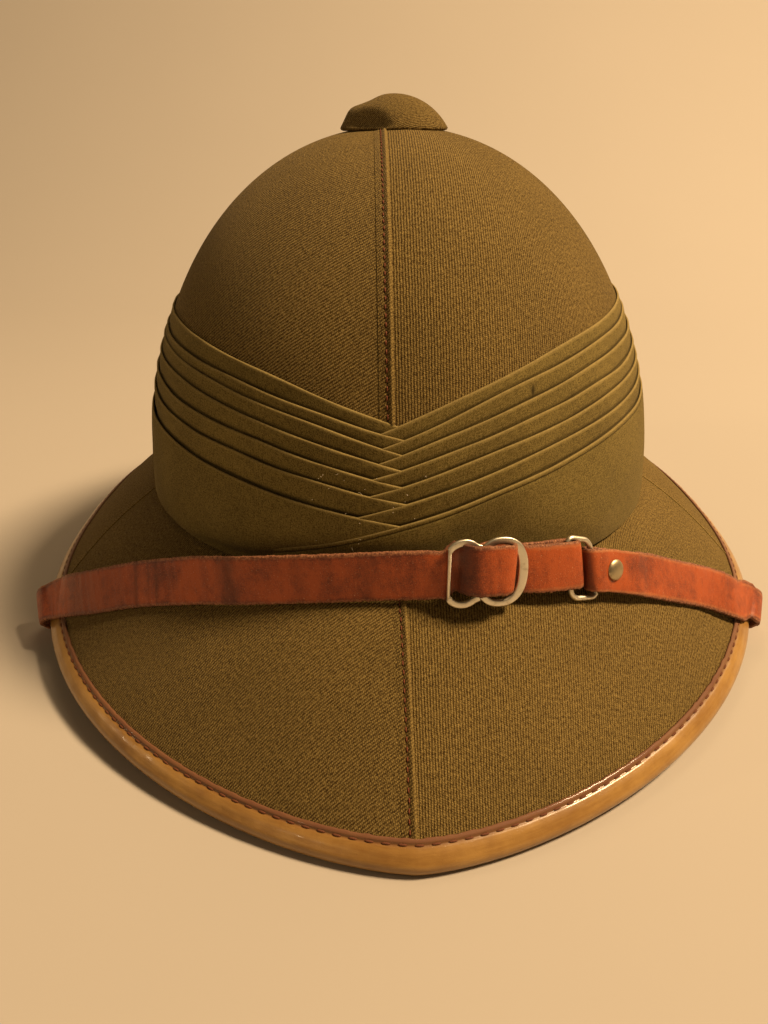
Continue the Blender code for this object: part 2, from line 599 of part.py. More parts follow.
def make_buckle(route, material):
    """A stamped plate with a left loop, a waist, a right oval loop and a middle bar."""
    bar, bar_half = BUCKLE_BAR
    places, halves = BUCKLE_LEFT["place"], BUCKLE_LEFT["half"]
    middle, half_width, half_height = BUCKLE_OVAL
    left_x = np.linspace(places[0] + BUCKLE_SIDE, bar - bar_half, 7)
    left_y = np.maximum(np.interp(left_x, places, halves) - BUCKLE_RIM, BUCKLE_WAIST)
    window = oval(middle, half_width - BUCKLE_RIM, half_height - BUCKLE_RIM)
    upper = window[(window[:, 1] > 0) & ((window[:, 0] > middle) | (window[:, 1] > BUCKLE_WAIST))]
    right_x = np.concatenate([[middle + half_width - BUCKLE_RIM], upper[:, 0], [bar + bar_half]])
    right_y = np.concatenate([[0.01], upper[:, 1], [BUCKLE_WAIST]])
    made = plate("slide_buckle", mirrored(places, halves), BUCKLE_SHEET, material)
    tools = {
        "right_loop": (oval(middle, half_width, half_height), BUCKLE_SHEET, "UNION"),
        "left_window": (mirrored(left_x, left_y), WINDOW_DEPTH, "DIFFERENCE"),
        "right_window": (mirrored(right_x, right_y), WINDOW_DEPTH, "DIFFERENCE"),
    }
    centre, along, upward, outward = route.at(bar)
    centre = centre - along * bar + outward * BUCKLE_OUT
    put(made, centre, along, upward, outward)
    for name, (outline, thick, operation) in tools.items():
        tool = plate(name, outline, thick, material)
        put(tool, centre, along, upward, outward)
        combine(made, tool, operation)
    return made


def make_ring(route, material):
    """A wire bent to an upright oval with straight sides."""
    line = bpy.data.curves.new("strap_ring", "CURVE")
    line.dimensions = "3D"
    line.bevel_depth = RING_WIRE * MM
    line.bevel_resolution = 2
    x, y = RING_HALF_WIDTH - RING_CORNER, RING_HALF_HEIGHT - RING_CORNER
    corners = []
    for start, (middle_x, middle_y) in zip((0, 90, 180, 270), ((x, y), (-x, y), (-x, -y), (x, -y))):
        for turn in np.radians(start + np.linspace(0, 90, 6)):
            corners.append((middle_x + RING_CORNER * np.cos(turn), middle_y + RING_CORNER * np.sin(turn)))
    wire = line.splines.new("POLY")
    wire.points.add(len(corners) - 1)
    for point, (along_x, along_y) in zip(wire.points, corners):
        point.co = (along_x * MM, along_y * MM, 0.0, 1.0)
    wire.use_cyclic_u = True
    wire.use_smooth = True
    made = add_object("strap_ring", line, material)
    middle, along, upward, outward = route.at(RING_MIDDLE)
    put(made, middle + outward * RING_OUT, along, upward, outward)
    return made


def drill(name, middle, axes, start, end, material, targets):
    """Cuts a round hole out of the target pieces, between two heights on its axis."""
    hole = turned(name, [(HOLE_RADIUS, start), (HOLE_RADIUS, end)], RIVET_SIDES, material)
    put(hole, middle, *axes)
    for target in targets:
        combine(target, hole, "DIFFERENCE")


def make_strap_rivet(route, tab, material):
    """A rivet through both layers of the short piece: a domed head, a shank and a flat end."""
    middle, *axes = route.at(RIVET_PLACE)
    reach = STRAP_THICK / 2 + RIVET_CLEAR
    front = np.interp(-RIVET_PLACE, -TAB_FRONT["place"], TAB_FRONT["out"]) + reach
    back = np.interp(RIVET_PLACE, TAB_BACK["place"], TAB_BACK["out"]) - reach
    dome = np.array([(1.0, 0.0), (0.95, 0.4), (0.75, 0.8), (0.35, 1.0)]) * [RIVET_HEAD, RIVET_DOME] + [0, front]
    profile = [(RIVET_BACK, back - 0.8), (RIVET_BACK, back), (RIVET_SHANK, back), (RIVET_SHANK, front)]
    made = turned("strap_rivet", profile + [tuple(row) for row in dome], RIVET_SIDES, material)
    put(made, middle, *axes)
    drill("tab_hole", middle, axes, back - 1, front + 1, material, [tab])


def make_anchor(name, side, strap, crown, material):
    """The plain rivet that holds the strap's end to the dome's wall from inside."""
    angle = np.radians(STRAP_CROSSING[0 if side < 0 else 1] + side * ANCHOR_TURN)
    wall = crown_at_height(angle, ANCHOR_HEIGHT, -CROWN_WALL)
    outward = unit(crown_at_height(angle, ANCHOR_HEIGHT) - wall)
    axes = (np.cross([0, 0, 1], outward), np.array([0.0, 0.0, 1.0]), outward)
    under = -(WALL_CLEAR + STRAP_THICK + RIVET_CLEAR)
    dome = np.array([(0.5, -1.0), (0.85, -0.75), (1.0, 0.0)]) * [RIVET_HEAD, RIVET_DOME] + [0, under]
    profile = [tuple(row) for row in dome] + [(RIVET_SHANK, under), (RIVET_SHANK, ANCHOR_DEPTH)]
    made = turned(name, profile, RIVET_SIDES, material)
    put(made, wall, *axes)
    drill(name + "_hole", wall, axes, under - 1, ANCHOR_DEPTH + GAP, material, [strap, crown])


def main():
    """Builds every piece, in a frame whose origin is below the middle of the helmet's length."""
    for old in list(bpy.data.objects):
        bpy.data.objects.remove(old, do_unlink=True)
    helmet = bpy.data.objects.new("helmet", None)
    helmet.location.y = (EDGE_FRONT - EDGE_REAR) / 2 * MM
    bpy.context.scene.collection.objects.link(helmet)
    looks = {name: make_material(name) for name in LOOKS}
    crown = make_crown(looks["drill_cloth"])
    make_brim(looks["drill_cloth"])
    make_binding(looks["tan_leather"])
    make_pugaree(looks["band_cloth"])
    make_button(looks["drill_cloth"])
    route = Route()
    strap = make_chin_strap(route, looks["strap_leather"])
    tab = make_tab(route, looks["strap_leather"])
    make_buckle(route, looks["white_metal"])
    make_ring(route, looks["white_metal"])
    make_strap_rivet(route, tab, looks["white_metal"])
    make_anchor("strap_anchor_left", -1, strap, crown, looks["white_metal"])
    make_anchor("strap_anchor_right", 1, tab, crown, looks["white_metal"])


main()
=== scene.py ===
"""Studio scene of a cloth-covered sun helmet with a pleated band, a leather-bound brim and a chin strap.

All sizes in the classes are millimetres and degrees unless a name says otherwise. The front of the helmet faces
-Y, +X is the photograph's right and +Z is up. Angles round the helmet run from the front, positive towards +X.
A "share" is the part of the way from the dome to the brim's edge, and a "place" is a distance along the strap
from the middle of the front.
"""

from __future__ import annotations

import json
import logging
from dataclasses import dataclass, field
from enum import Enum
from typing import Any

import bmesh
import bpy
import numpy as np
from mathutils import Matrix

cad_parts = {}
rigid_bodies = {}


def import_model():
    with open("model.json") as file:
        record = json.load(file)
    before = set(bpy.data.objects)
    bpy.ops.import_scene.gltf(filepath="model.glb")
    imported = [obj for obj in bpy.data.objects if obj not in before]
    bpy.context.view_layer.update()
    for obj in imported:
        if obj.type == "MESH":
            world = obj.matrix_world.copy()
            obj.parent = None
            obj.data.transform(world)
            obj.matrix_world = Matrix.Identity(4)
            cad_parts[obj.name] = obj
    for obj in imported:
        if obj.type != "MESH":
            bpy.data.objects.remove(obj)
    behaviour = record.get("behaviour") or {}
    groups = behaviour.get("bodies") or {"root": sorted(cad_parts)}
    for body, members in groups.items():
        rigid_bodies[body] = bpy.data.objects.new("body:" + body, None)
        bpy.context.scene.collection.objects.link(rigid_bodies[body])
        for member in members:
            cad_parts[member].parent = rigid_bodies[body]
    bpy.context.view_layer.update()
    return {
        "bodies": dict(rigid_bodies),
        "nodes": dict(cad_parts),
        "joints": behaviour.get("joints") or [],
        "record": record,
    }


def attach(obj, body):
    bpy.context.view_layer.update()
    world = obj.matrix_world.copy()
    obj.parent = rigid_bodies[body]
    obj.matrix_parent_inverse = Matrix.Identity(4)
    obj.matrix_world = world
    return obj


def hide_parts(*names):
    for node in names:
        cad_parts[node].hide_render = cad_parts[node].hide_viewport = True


LOG = logging.getLogger("helmet")
MM = 0.001
ROW_SHIFT = np.array([0.0, -4.7, 0.0])  # the frame's origin lies under the middle of the helmet's length
BODY = "root"
Array = np.ndarray
Colour = tuple[float, float, float]
SINES = 6  # in each irregular wave
SINE_LENGTHS = (0.55, 1.9)  # shortest and longest of them, as shares of the mean length
SINE_GAIN = 1.6  # brings their mean to a size of about 1
TINY = 1e-6  # keeps a divisor away from zero


def table(names: str, rows: list[tuple[float, ...]]) -> Array:
    """A table with named columns."""
    return np.array(rows, dtype=[(name, float) for name in names.split()])


def columns(rows: Array) -> Array:
    """A table with named columns as a plain array."""
    return np.stack([rows[name] for name in rows.dtype.names], axis=1)


def bell(values: Array, middle: Any, width: float) -> Array:
    """A smooth bump: 1 at the middle, falling with the square of the distance from it in widths."""
    return np.exp(-(((values - middle) / width) ** 2))


def eased(share: Array) -> Array:
    """An S-shaped way from 0 to 1."""
    return share**2 * (3 - 2 * share)


def squared(values: Array, power: float) -> Array:
    """Each value's size to a power, with its sign: of a sine and a cosine this draws a rounded rectangle."""
    return np.sign(values) * np.abs(values) ** power


def unit(vectors: Array) -> Array:
    """Each vector at length 1."""
    return vectors / np.maximum(np.linalg.norm(vectors, axis=-1, keepdims=True), 1e-12)


def stack(x: Any, y: Any, z: Any) -> Array:
    """Points from their coordinates."""
    return np.stack(np.broadcast_arrays(x, y, z), axis=-1).astype(float)


def wobble(values: Array, wavelength: float, seed: int) -> Array:
    """Smooth irregular waves about zero: a sum of six sines whose lengths are near the wavelength.

    Args:
        values: where the waves are read, in the wavelength's unit.
        wavelength: mean length of a wave.
        seed: picks one of many patterns.

    Returns:
        Values mostly between -1 and 1, of the input's shape.
    """
    random = np.random.default_rng(seed)
    lengths = wavelength * random.uniform(*SINE_LENGTHS, SINES)
    phases = random.uniform(0, 2 * np.pi, SINES)
    return np.mean([np.sin(2 * np.pi * values / a + b) for a, b in zip(lengths, phases)], axis=0) * SINE_GAIN


def round_wobble(angle: Array, waves: int, seed: int) -> Array:
    """Smooth irregular waves round the helmet, which meet themselves at the rear.

    Args:
        angle: radians round the helmet.
        waves: about how many waves go round.
        seed: picks one of many patterns.

    Returns:
        Values mostly between -1 and 1, of the input's shape.
    """
    random = np.random.default_rng(seed)
    counts = random.integers(max(1, waves // 2), 2 * waves, SINES)
    phases = random.uniform(0, 2 * np.pi, SINES)
    return np.mean([np.sin(n * angle + b) for n, b in zip(counts, phases)], axis=0) * SINE_GAIN


def wobbles(values: Array, seed: int, *sizes: tuple[float, float]) -> Array:
    """The sum of wobbles, each given by its height and its wavelength; their seeds count up from the first."""
    return sum(height * wobble(values, length, seed + k) for k, (height, length) in enumerate(sizes))


def smooth_rows(rows: Array, between: int) -> Array:
    """More rows on a smooth curve through the given ones (Catmull-Rom).

    Args:
        rows: one row of values for each point.
        between: steps from one row to the next.

    Returns:
        The denser rows, the given ones among them.
    """
    rows = np.asarray(rows, float)
    ends = np.vstack([2 * rows[:1] - rows[1:2], rows, 2 * rows[-1:] - rows[-2:-1]])
    a, b, c, d = (ends[k : len(ends) - 3 + k, None] for k in range(4))
    t = (np.arange(between) / between)[None, :, None]
    curve = 2 * b + (c - a) * t + (2 * a - 5 * b + 4 * c - d) * t**2 + (3 * b - a - 3 * c + d) * t**3
    return np.vstack([curve.reshape(-1, rows.shape[1]) / 2, rows[-1:]])


def even_rows(rows: Array, step: float) -> Array:
    """Rows at even distances along the line that their first three columns draw.

    Args:
        rows: xyz first, then any other values.
        step: distance between the new rows.

    Returns:
        The new rows, read off the old ones.
    """
    run = np.concatenate([[0], np.cumsum(np.linalg.norm(np.diff(rows[:, :3], axis=0), axis=1))])
    wanted = np.linspace(0, run[-1], max(2, int(round(run[-1] / step)) + 1))
    return np.stack([np.interp(wanted, run, rows[:, k]) for k in range(rows.shape[1])], axis=1)


def directions(points: Array) -> Array:
    """Direction of a line of points at each one, halfway between its neighbours' directions."""
    steps = unit(np.diff(points, axis=0))
    return unit(np.vstack([steps[:1], steps[:-1] + steps[1:], steps[-1:]]))


def square_to(vectors: Array, axis: Array) -> Array:
    """What is left of the vectors without their part along an axis, at length 1."""
    return unit(vectors - axis * np.sum(vectors * axis, axis=-1, keepdims=True))


# ---- meshes


@dataclass
class Sheet:
    """A grid of points with the cloth or leather coordinates that its pattern follows."""

    points: Array
    pattern: Array
    marks: dict[str, Array] = field(default_factory=dict)
    finish: int = 0
    inside: tuple[float, float, float] | None = None

    def faces(self) -> Array:
        """The grid's cells, turned so that they face away from the inside point.

        Returns:
            Four corner numbers for each cell.
        """
        rows, columns = self.points.shape[:2]
        number = np.arange(rows * columns).reshape(rows, columns)
        around = [number[:-1, :-1], number[:-1, 1:], number[1:, 1:], number[1:, :-1]]
        cells = np.stack(around, axis=-1).reshape(-1, 4)
        if self.inside is None:
            return cells
        corners = self.points.reshape(-1, 3)[cells]
        normal = np.cross(corners[:, 2] - corners[:, 0], corners[:, 3] - corners[:, 1])
        away = corners.mean(axis=1) - np.array(self.inside)
        return cells if np.sum(normal * away) > 0 else cells[:, ::-1]


def build_piece(
    name: str,
    sheets: list[Sheet],
    slot: str,
    *finishes: Finish,
    replaces: str = "",
    closed: bool = True,
    sharp: float = 0.0,
) -> None:
    """One object from sheets that are joined where they meet; it rides on the helmet.

    Args:
        name: the piece's name.
        sheets: its grids, in millimetres, before the shift to the frame's origin.
        slot: not used.
        finishes: its finishes, in the order of the sheets' numbers.
        replaces: the solid that it stands for.
        closed: whether the sheets close to a shell, whose faces can be turned outwards as a whole.
        sharp: edges that bend by more than this stay sharp, in degrees; 0 leaves all smooth.
    """
    offsets = np.cumsum([0] + [sheet.points.shape[0] * sheet.points.shape[1] for sheet in sheets])
    points = (np.concatenate([sheet.points.reshape(-1, 3) for sheet in sheets]) + ROW_SHIFT) * MM
    cells = np.concatenate([sheet.faces() + start for sheet, start in zip(sheets, offsets)])
    pattern = np.concatenate([sheet.pattern.reshape(-1, 2) for sheet in sheets])
    mesh = bpy.data.meshes.new(name)
    mesh.vertices.add(len(points))
    mesh.vertices.foreach_set("co", points.astype(np.float32).ravel())
    mesh.loops.add(cells.size)
    mesh.loops.foreach_set("vertex_index", cells.ravel().astype(np.int32))
    mesh.polygons.add(len(cells))
    mesh.polygons.foreach_set("loop_start", np.arange(0, cells.size, 4, dtype=np.int32))
    numbers = np.concatenate([np.full(len(sheet.faces()), sheet.finish) for sheet in sheets])
    mesh.polygons.foreach_set("material_index", numbers.astype(np.int32))
    mesh.update(calc_edges=True)
    layer = mesh.uv_layers.new(name="pattern")
    layer.data.foreach_set("uv", pattern[cells.ravel()].astype(np.float32).ravel())
    for mark in sorted({mark for sheet in sheets for mark in sheet.marks}):
        parts = [sheet.marks.get(mark, np.zeros(sheet.points.shape[:2])) for sheet in sheets]
        spread = [np.broadcast_to(part, sheet.points.shape[:2]).ravel() for part, sheet in zip(parts, sheets)]
        attribute = mesh.attributes.new(mark, "FLOAT", "POINT")
        attribute.data.foreach_set("value", np.concatenate(spread).astype(np.float32))
    work = bmesh.new()
    work.from_mesh(mesh)
    bmesh.ops.remove_doubles(work, verts=work.verts, dist=2e-6)
    if closed:
        bmesh.ops.recalc_face_normals(work, faces=work.faces)
    work.to_mesh(mesh)
    work.free()
    mesh.shade_smooth()
    if sharp:
        mesh.set_sharp_from_angle(angle=np.radians(sharp))
    piece = bpy.data.objects.new(name, mesh)
    bpy.context.scene.collection.objects.link(piece)
    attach(piece, BODY)
    if replaces:
        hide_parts(replaces)
    dress(piece, *finishes)
    LOG.info("%s: %d faces", name, len(mesh.polygons))


def run_along(points: Array, axis: int) -> Array:
    """Distance walked along one axis of a grid of points, from its first row or column."""
    steps = np.linalg.norm(np.diff(points, axis=axis), axis=-1)
    start = np.zeros_like(np.take(steps, [0], axis=axis))
    return np.concatenate([start, np.cumsum(steps, axis=axis)], axis=axis)


def laid_out(points: Array, axes: tuple[int, int] = (0, 1), finish: int = 0) -> Sheet:
    """A sheet whose pattern is the distance walked along each axis of its grid, in the given order."""
    return Sheet(points, np.stack([run_along(points, axis) for axis in axes], axis=-1), finish=finish)


def tube(path: Array, radius: Array, sides: int, closed: bool) -> Sheet:
    """A round wire or thread along a path: each cross-section is a circle square to the path.

    Args:
        path: the points of its middle.
        radius: its radius at each point.
        sides: corners of a cross-section.
        closed: whether the path meets itself.

    Returns:
        The sheet, closed round the wire, and at its ends where the radius is zero there.
    """
    if closed:
        along = unit(np.roll(path, -1, axis=0) - np.roll(path, 1, axis=0))
    else:
        along = directions(path)
    helper = np.where(np.abs(along[:, 2:]) > 0.9, [[1.0, 0, 0]], [[0, 0, 1.0]])
    one = unit(np.cross(along, helper))
    other = np.cross(along, one)
    turn = np.linspace(0, 2 * np.pi, sides + 1)[None, :, None]
    circle = np.cos(turn) * one[:, None] + np.sin(turn) * other[:, None]
    points = path[:, None] + circle * np.reshape(radius, (-1, 1, 1))
    if closed:
        points = np.concatenate([points, points[:1]])
    return laid_out(points)


def ribbon(path: Array, across: Array, upward: Array, profile: Array) -> Sheet:
    """A profile carried along a path.

    Args:
        path: points of the path.
        across: direction of the profile's first number at each point.
        upward: direction of its second number.
        profile: rows of sideways and upward distances.

    Returns:
        The sheet; its pattern is the distance along the path and the sideways distance.
    """
    side = profile[None, :, :1]
    points = path[:, None] + across[:, None] * side + upward[:, None] * profile[None, :, 1:]
    along = np.broadcast_to(run_along(path, 0)[:, None], points.shape[:2])
    return Sheet(points, np.stack([along, np.broadcast_to(side[..., 0], points.shape[:2])], axis=-1))


# A stitch: how thick its thread is, in radii, from end to end.
STITCH = table("share thick", [(0, 0.0), (1, 0.85), (2, 1.0), (3, 1.0), (4, 1.0), (5, 0.85), (6, 0.0)])
STITCH_LIFT = 0.06  # height of a thread's middle over the sewing line halfway along
STITCH_DIP = 1.6  # how many radii its ends lie lower than that


def stitches(path: Array, upward: Array, pitch: float, length: float, radius: float) -> list[Sheet]:
    """A row of stitches: short threads that rise from the surface, lie along the path and go down again.

    Args:
        path: points of the sewing line on the surface.
        upward: the surface's direction at each point.
        pitch: distance from one stitch to the next.
        length: length of the thread that shows.
        radius: the thread's radius.

    Returns:
        One sheet for each stitch.
    """
    run = run_along(path, 0)
    starts = np.arange(pitch / 2, run[-1] - length, pitch)
    share = STITCH["share"] / STITCH["share"][-1]
    rise = STITCH_LIFT - STITCH_DIP * radius * (2 * share - 1) ** 4
    thick = radius * STITCH["thick"]
    sheets = []
    for start in starts:
        places = start + share * length
        middle = np.stack([np.interp(places, run, path[:, k]) for k in range(3)], axis=1)
        raised = np.stack([np.interp(places, run, upward[:, k]) for k in range(3)], axis=1)
        sheets.append(tube(middle + raised * rise[:, None], thick, 6, False))
    return sheets


# ---- helmet's form


@dataclass(frozen=True)
class HelmetForm:
    """The surfaces that the pieces lie on: the dome, the brim and its edge."""

    half_width: float = 96.4
    front: float = 115.5
    rear: float = 117.5
    top: float = 173.9
    base: float = 48.0
    base_rise: float = 5.5
    power: float = 2.1
    wall: float = 4.0
    edge_half_width: float = 137.6
    edge_front: float = 173.4
    edge_rear: float = 182.8
    front_powers: tuple[float, float] = (1.32, 0.855)
    rear_powers: tuple[float, float] = (0.96, 0.87)
    lift: float = 11.2
    lift_peak: float = 103.0
    lift_powers: tuple[float, float] = (1.2, 0.8)
    rest_front: float = 10.0
    rest_rear: float = 14.0
    camber: float = 3.0
    brim_at_crown: float = 4.0
    brim_at_edge: float = 3.0
    brim_drop: float = 2.8
    binding_round: float = 2.9
    binding_flat: float = 0.45

    def base_height(self, angle: Array) -> Array:
        """Height of the dome's lower edge: the base plus a rise with the squared cosine."""
        return self.base + self.base_rise * np.cos(angle) ** 2

    def base_line(self, angle: Array, out: Array | float = 0.0) -> Array:
        """The dome's lower edge moved outwards: an ellipse in plan, deeper behind than in front."""
        reach = np.where(np.cos(angle) >= 0, self.front, self.rear) + out
        return stack((self.half_width + out) * np.sin(angle), -reach * np.cos(angle), self.base_height(angle))

    def dome(self, angle: Array, climb: Array, out: Array | float = 0.0) -> Array:
        """The dome, moved outwards: a power of the climb's cosine draws its plan in, one of its sine lifts it.

        Args:
            angle: radians round the helmet.
            climb: 0 at the base, a right angle at the top.
            out: distance outwards.

        Returns:
            The points.
        """
        across = np.cos(climb) ** (2 / self.power)
        upward = np.sin(climb) ** (2 / self.power)
        foot = self.base_line(angle, out)
        rise = (self.top + out - foot[..., 2]) * upward
        return stack(foot[..., 0] * across, foot[..., 1] * across, foot[..., 2] + rise)

    def wall_at(self, angle: Array, height: Array, out: Array | float = 0.0) -> Array:
        """The dome's point at a height, moved outwards on the level.

        Args:
            angle: radians round the helmet.
            height: height of the point; below the base the wall is upright.
            out: distance outwards on the level.

        Returns:
            The points.
        """
        angle, height = np.broadcast_arrays(np.asarray(angle, float), np.asarray(height, float))
        foot = self.base_height(angle)
        share = np.clip((height - foot) / (self.top - foot), 0, 1)
        point = self.dome(angle, np.arcsin(share ** (self.power / 2)))
        outward = unit(stack(point[..., 0] / self.half_width**2, point[..., 1] / self.front**2, 0.0))
        point = point + outward * np.broadcast_to(np.asarray(out, float), angle.shape)[..., None]
        return stack(point[..., 0], point[..., 1], height)

    def edge_height(self, angle: Array) -> Array:
        """Height of the edge's middle: level at the front and the rear, with one swell along each side.

        Args:
            angle: radians round the helmet.

        Returns:
            The heights; the swell is half a cosine wave to a power, before and behind its peak.
        """
        turn = np.degrees(np.abs(angle))
        ahead = turn < self.lift_peak
        front = (turn - self.rest_front) / (self.lift_peak - self.rest_front)
        rear = (180 - self.rest_rear - turn) / (180 - self.rest_rear - self.lift_peak)
        share = np.clip(np.where(ahead, front, rear), 0, 1)
        swell = ((1 - np.cos(np.pi * share)) / 2) ** np.where(ahead, *self.lift_powers)
        return self.binding_round - self.binding_flat + self.lift * swell

    def edge_line(self, angle: Array) -> Array:
        """The brim's edge: in plan, powers of sine and cosine, which draw it to a blunt point in front.

        Args:
            angle: radians round the helmet.

        Returns:
            The points.
        """
        ahead = np.cos(angle) >= 0
        sine, cosine = np.abs(np.sin(angle)), np.abs(np.cos(angle))
        across = sine ** np.where(ahead, self.front_powers[0], self.rear_powers[0])
        before = -self.edge_front * cosine ** self.front_powers[1]
        behind = self.edge_rear * cosine ** self.rear_powers[1]
        x = np.sign(np.sin(angle)) * self.edge_half_width * across
        return stack(x, np.where(ahead, before, behind), self.edge_height(angle))

    def brim_middle(self, angle: Array, share: Array) -> Array:
        """Middle of the brim's thickness: straight from the dome to the edge, plus a sine's camber.

        Args:
            angle: radians round the helmet.
            share: 0 at the dome, 1 at the edge.

        Returns:
            The points.
        """
        share = np.asarray(share, float)[..., None]
        inner = self.base_line(angle) - [0, 0, self.brim_drop]
        camber = np.array([0, 0, self.camber]) * np.sin(np.pi * share)
        return inner * (1 - share) + self.edge_line(angle) * share + camber

    def brim_axes(self, angle: Array, share: Array) -> tuple[Array, Array, Array]:
        """The brim's directions: differences of its middle a small step apart, and their cross product.

        Args:
            angle: radians round the helmet.
            share: 0 at the dome, 1 at the edge.

        Returns:
            Directions along the ring, outwards along the slope, and square to the upper face.
        """
        angle, share = np.broadcast_arrays(np.asarray(angle, float), np.asarray(share, float))
        step = 1e-4
        along = unit(self.brim_middle(angle + step, share) - self.brim_middle(angle - step, share))
        slope = unit(self.brim_middle(angle, share + step) - self.brim_middle(angle, share - step))
        face = unit(np.cross(slope, along))
        return along, slope, face * np.sign(face[..., 2:])

    def brim_face(self, angle: Array, share: Array, side: int, off: Array | float = 0.0) -> Array:
        """A point on one of the brim's faces, moved off it.

        Args:
            angle: radians round the helmet.
            share: 0 at the dome, 1 at the edge.
            side: 1 for the upper face, -1 for the lower.
            off: distance off the face.

        Returns:
            The points.
        """
        angle, share = np.broadcast_arrays(np.asarray(angle, float), np.asarray(share, float))
        half = (self.brim_at_crown + (self.brim_at_edge - self.brim_at_crown) * share) / 2
        return self.brim_middle(angle, share) + self.brim_axes(angle, share)[2] * side * (half + off)[..., None]


FORM = HelmetForm()


# ---- shaders


class Value:
    """A shader socket that can be used in arithmetic; an expression adds its Math nodes."""

    def __init__(self, shader: Shader, socket: Any) -> None:
        """Wraps a socket of a shader's tree."""
        self.shader = shader
        self.socket = socket

    def math(self, operation: str, *others: Any, clamp: bool = False) -> Value:
        """A Math node on this value and others."""
        inputs = dict(enumerate((self, *others)))
        return self.shader.node("ShaderNodeMath", {"operation": operation, "use_clamp": clamp}, inputs)

    def __add__(self, other: Any) -> Value:
        """This plus another."""
        return self.math("ADD", other)

    def __sub__(self, other: Any) -> Value:
        """This minus another."""
        return self.math("SUBTRACT", other)

    def __mul__(self, other: Any) -> Value:
        """This times another."""
        return self.math("MULTIPLY", other)

    def __rsub__(self, other: float) -> Value:
        """A number minus this."""
        return self.shader.node("ShaderNodeMath", {"operation": "SUBTRACT"}, {0: other, 1: self})

    __radd__, __rmul__ = __add__, __mul__

    def sine(self) -> Value:
        """Its sine."""
        return self.math("SINE")

    def absolute(self) -> Value:
        """Its size without the sign."""
        return self.math("ABSOLUTE")

    def clamped(self) -> Value:
        """This kept between 0 and 1."""
        return self.math("ADD", 0.0, clamp=True)

    def step(self, low: float, high: float) -> Value:
        """A smooth step up, or down where the bounds are the other way round.

        Args:
            low: where it is 0.
            high: where it is 1.

        Returns:
            The step's value.
        """
        settings = {"interpolation_type": "SMOOTHSTEP"}
        turned = low > high
        inputs = {"Value": self, 1: min(low, high), 2: max(low, high), 3: float(turned), 4: float(not turned)}
        return self.shader.node("ShaderNodeMapRange", settings, inputs)


class Shader:
    """A material's node tree, with one method that adds any node."""

    def __init__(self, name: str) -> None:
        """Starts a material that holds only its output."""
        self.material = bpy.data.materials.new(name)
        self.material.use_nodes = True
        self.tree = self.material.node_tree
        self.tree.nodes.clear()

    def node(self, kind: str, settings: dict[str, Any], inputs: dict[Any, Any], output: Any = 0) -> Value:
        """Adds a node.

        Args:
            kind: the node's type.
            settings: its properties, set before its sockets.
            inputs: values or links of its sockets, by name or number.
            output: which output is returned, by name or number.

        Returns:
            The output as a value.
        """
        made = self.tree.nodes.new(kind)
        for key, value in settings.items():
            setattr(made, key, value)
        for key, value in inputs.items():
            if isinstance(value, Value):
                self.tree.links.new(value.socket, made.inputs[key])
            else:
                made.inputs[key].default_value = value
        return Value(self, made.outputs[output])

    def pattern(self) -> tuple[Value, Value, Value]:
        """The piece's own pattern coordinates: the vector, its first and its second number, in millimetres."""
        vector = self.node("ShaderNodeUVMap", {"uv_map": "pattern"}, {})
        return vector, *(self.node("ShaderNodeSeparateXYZ", {}, {0: vector}, number) for number in (0, 1))

    def place(self) -> Value:
        """The point of the surface in millimetres, in the helmet's frame."""
        point = self.node("ShaderNodeTexCoord", {}, {}, "Object")
        return self.node("ShaderNodeVectorMath", {"operation": "SCALE"}, {0: point, "Scale": 1000.0})

    def mark(self, name: str) -> Value:
        """A named value of the surface."""
        return self.node("ShaderNodeAttribute", {"attribute_name": name}, {}, "Fac")

    def joined(self, x: Any, y: Any, z: Any = 0.0) -> Value:
        """A vector from three values."""
        return self.node("ShaderNodeCombineXYZ", {}, {0: x, 1: y, 2: z})

    def noise(
        self, vector: Value, size: float, detail: float = 2.0, rough: float = 0.5, bend: float = 0.0
    ) -> Value:
        """Cloudy noise from 0 to 1 whose features are about so many millimetres in size."""
        cloud = {"Scale": 1.0 / size, "Detail": detail, "Roughness": rough, "Distortion": bend}
        return self.node("ShaderNodeTexNoise", {"noise_dimensions": "3D"}, {"Vector": vector, **cloud}, "Fac")

    def specks(self, vector: Value, size: float) -> Value:
        """Distance from the nearest of scattered points, in cells of so many millimetres."""
        inputs = {"Vector": vector, "Scale": 1.0 / size}
        return self.node("ShaderNodeTexVoronoi", {"feature": "F1"}, inputs, "Distance")

    def blend(self, first: Any, second: Any, share: Any) -> Value:
        """A colour between two, nearer the second as the share grows."""
        first, second = (colour if isinstance(colour, Value) else (*colour, 1.0) for colour in (first, second))
        pick = {"data_type": "RGBA", "clamp_factor": True}
        return self.node("ShaderNodeMix", pick, {0: share, 6: first, 7: second}, 2)

    def tinted(self, colour: Value, amount: Any) -> Value:
        """A colour made lighter or darker by a factor."""
        return self.node("ShaderNodeVectorMath", {"operation": "SCALE"}, {0: colour, "Scale": amount})

    def bump(self, height: Value, depth: float, strength: float = 1.0, under: Value | None = None) -> Value:
        """A surface direction from heights of 0 to 1 that stand for so many millimetres."""
        normal = {} if under is None else {"Normal": under}
        inputs = {"Strength": strength, "Distance": depth * MM, "Height": height, **normal}
        return self.node("ShaderNodeBump", {}, inputs)

    def surface(self, inputs: dict[str, Any]) -> bpy.types.Material:
        """Ends the material with a Principled shader."""
        shader = self.node("ShaderNodeBsdfPrincipled", {}, inputs)
        output = self.tree.nodes.new("ShaderNodeOutputMaterial")
        self.tree.links.new(shader.socket, output.inputs["Surface"])
        return self.material


# The weak, broad gloss of both cloths.
SOFT = {"Specular IOR Level": 0.10, "Sheen Weight": 0.03, "Sheen Roughness": 0.4}


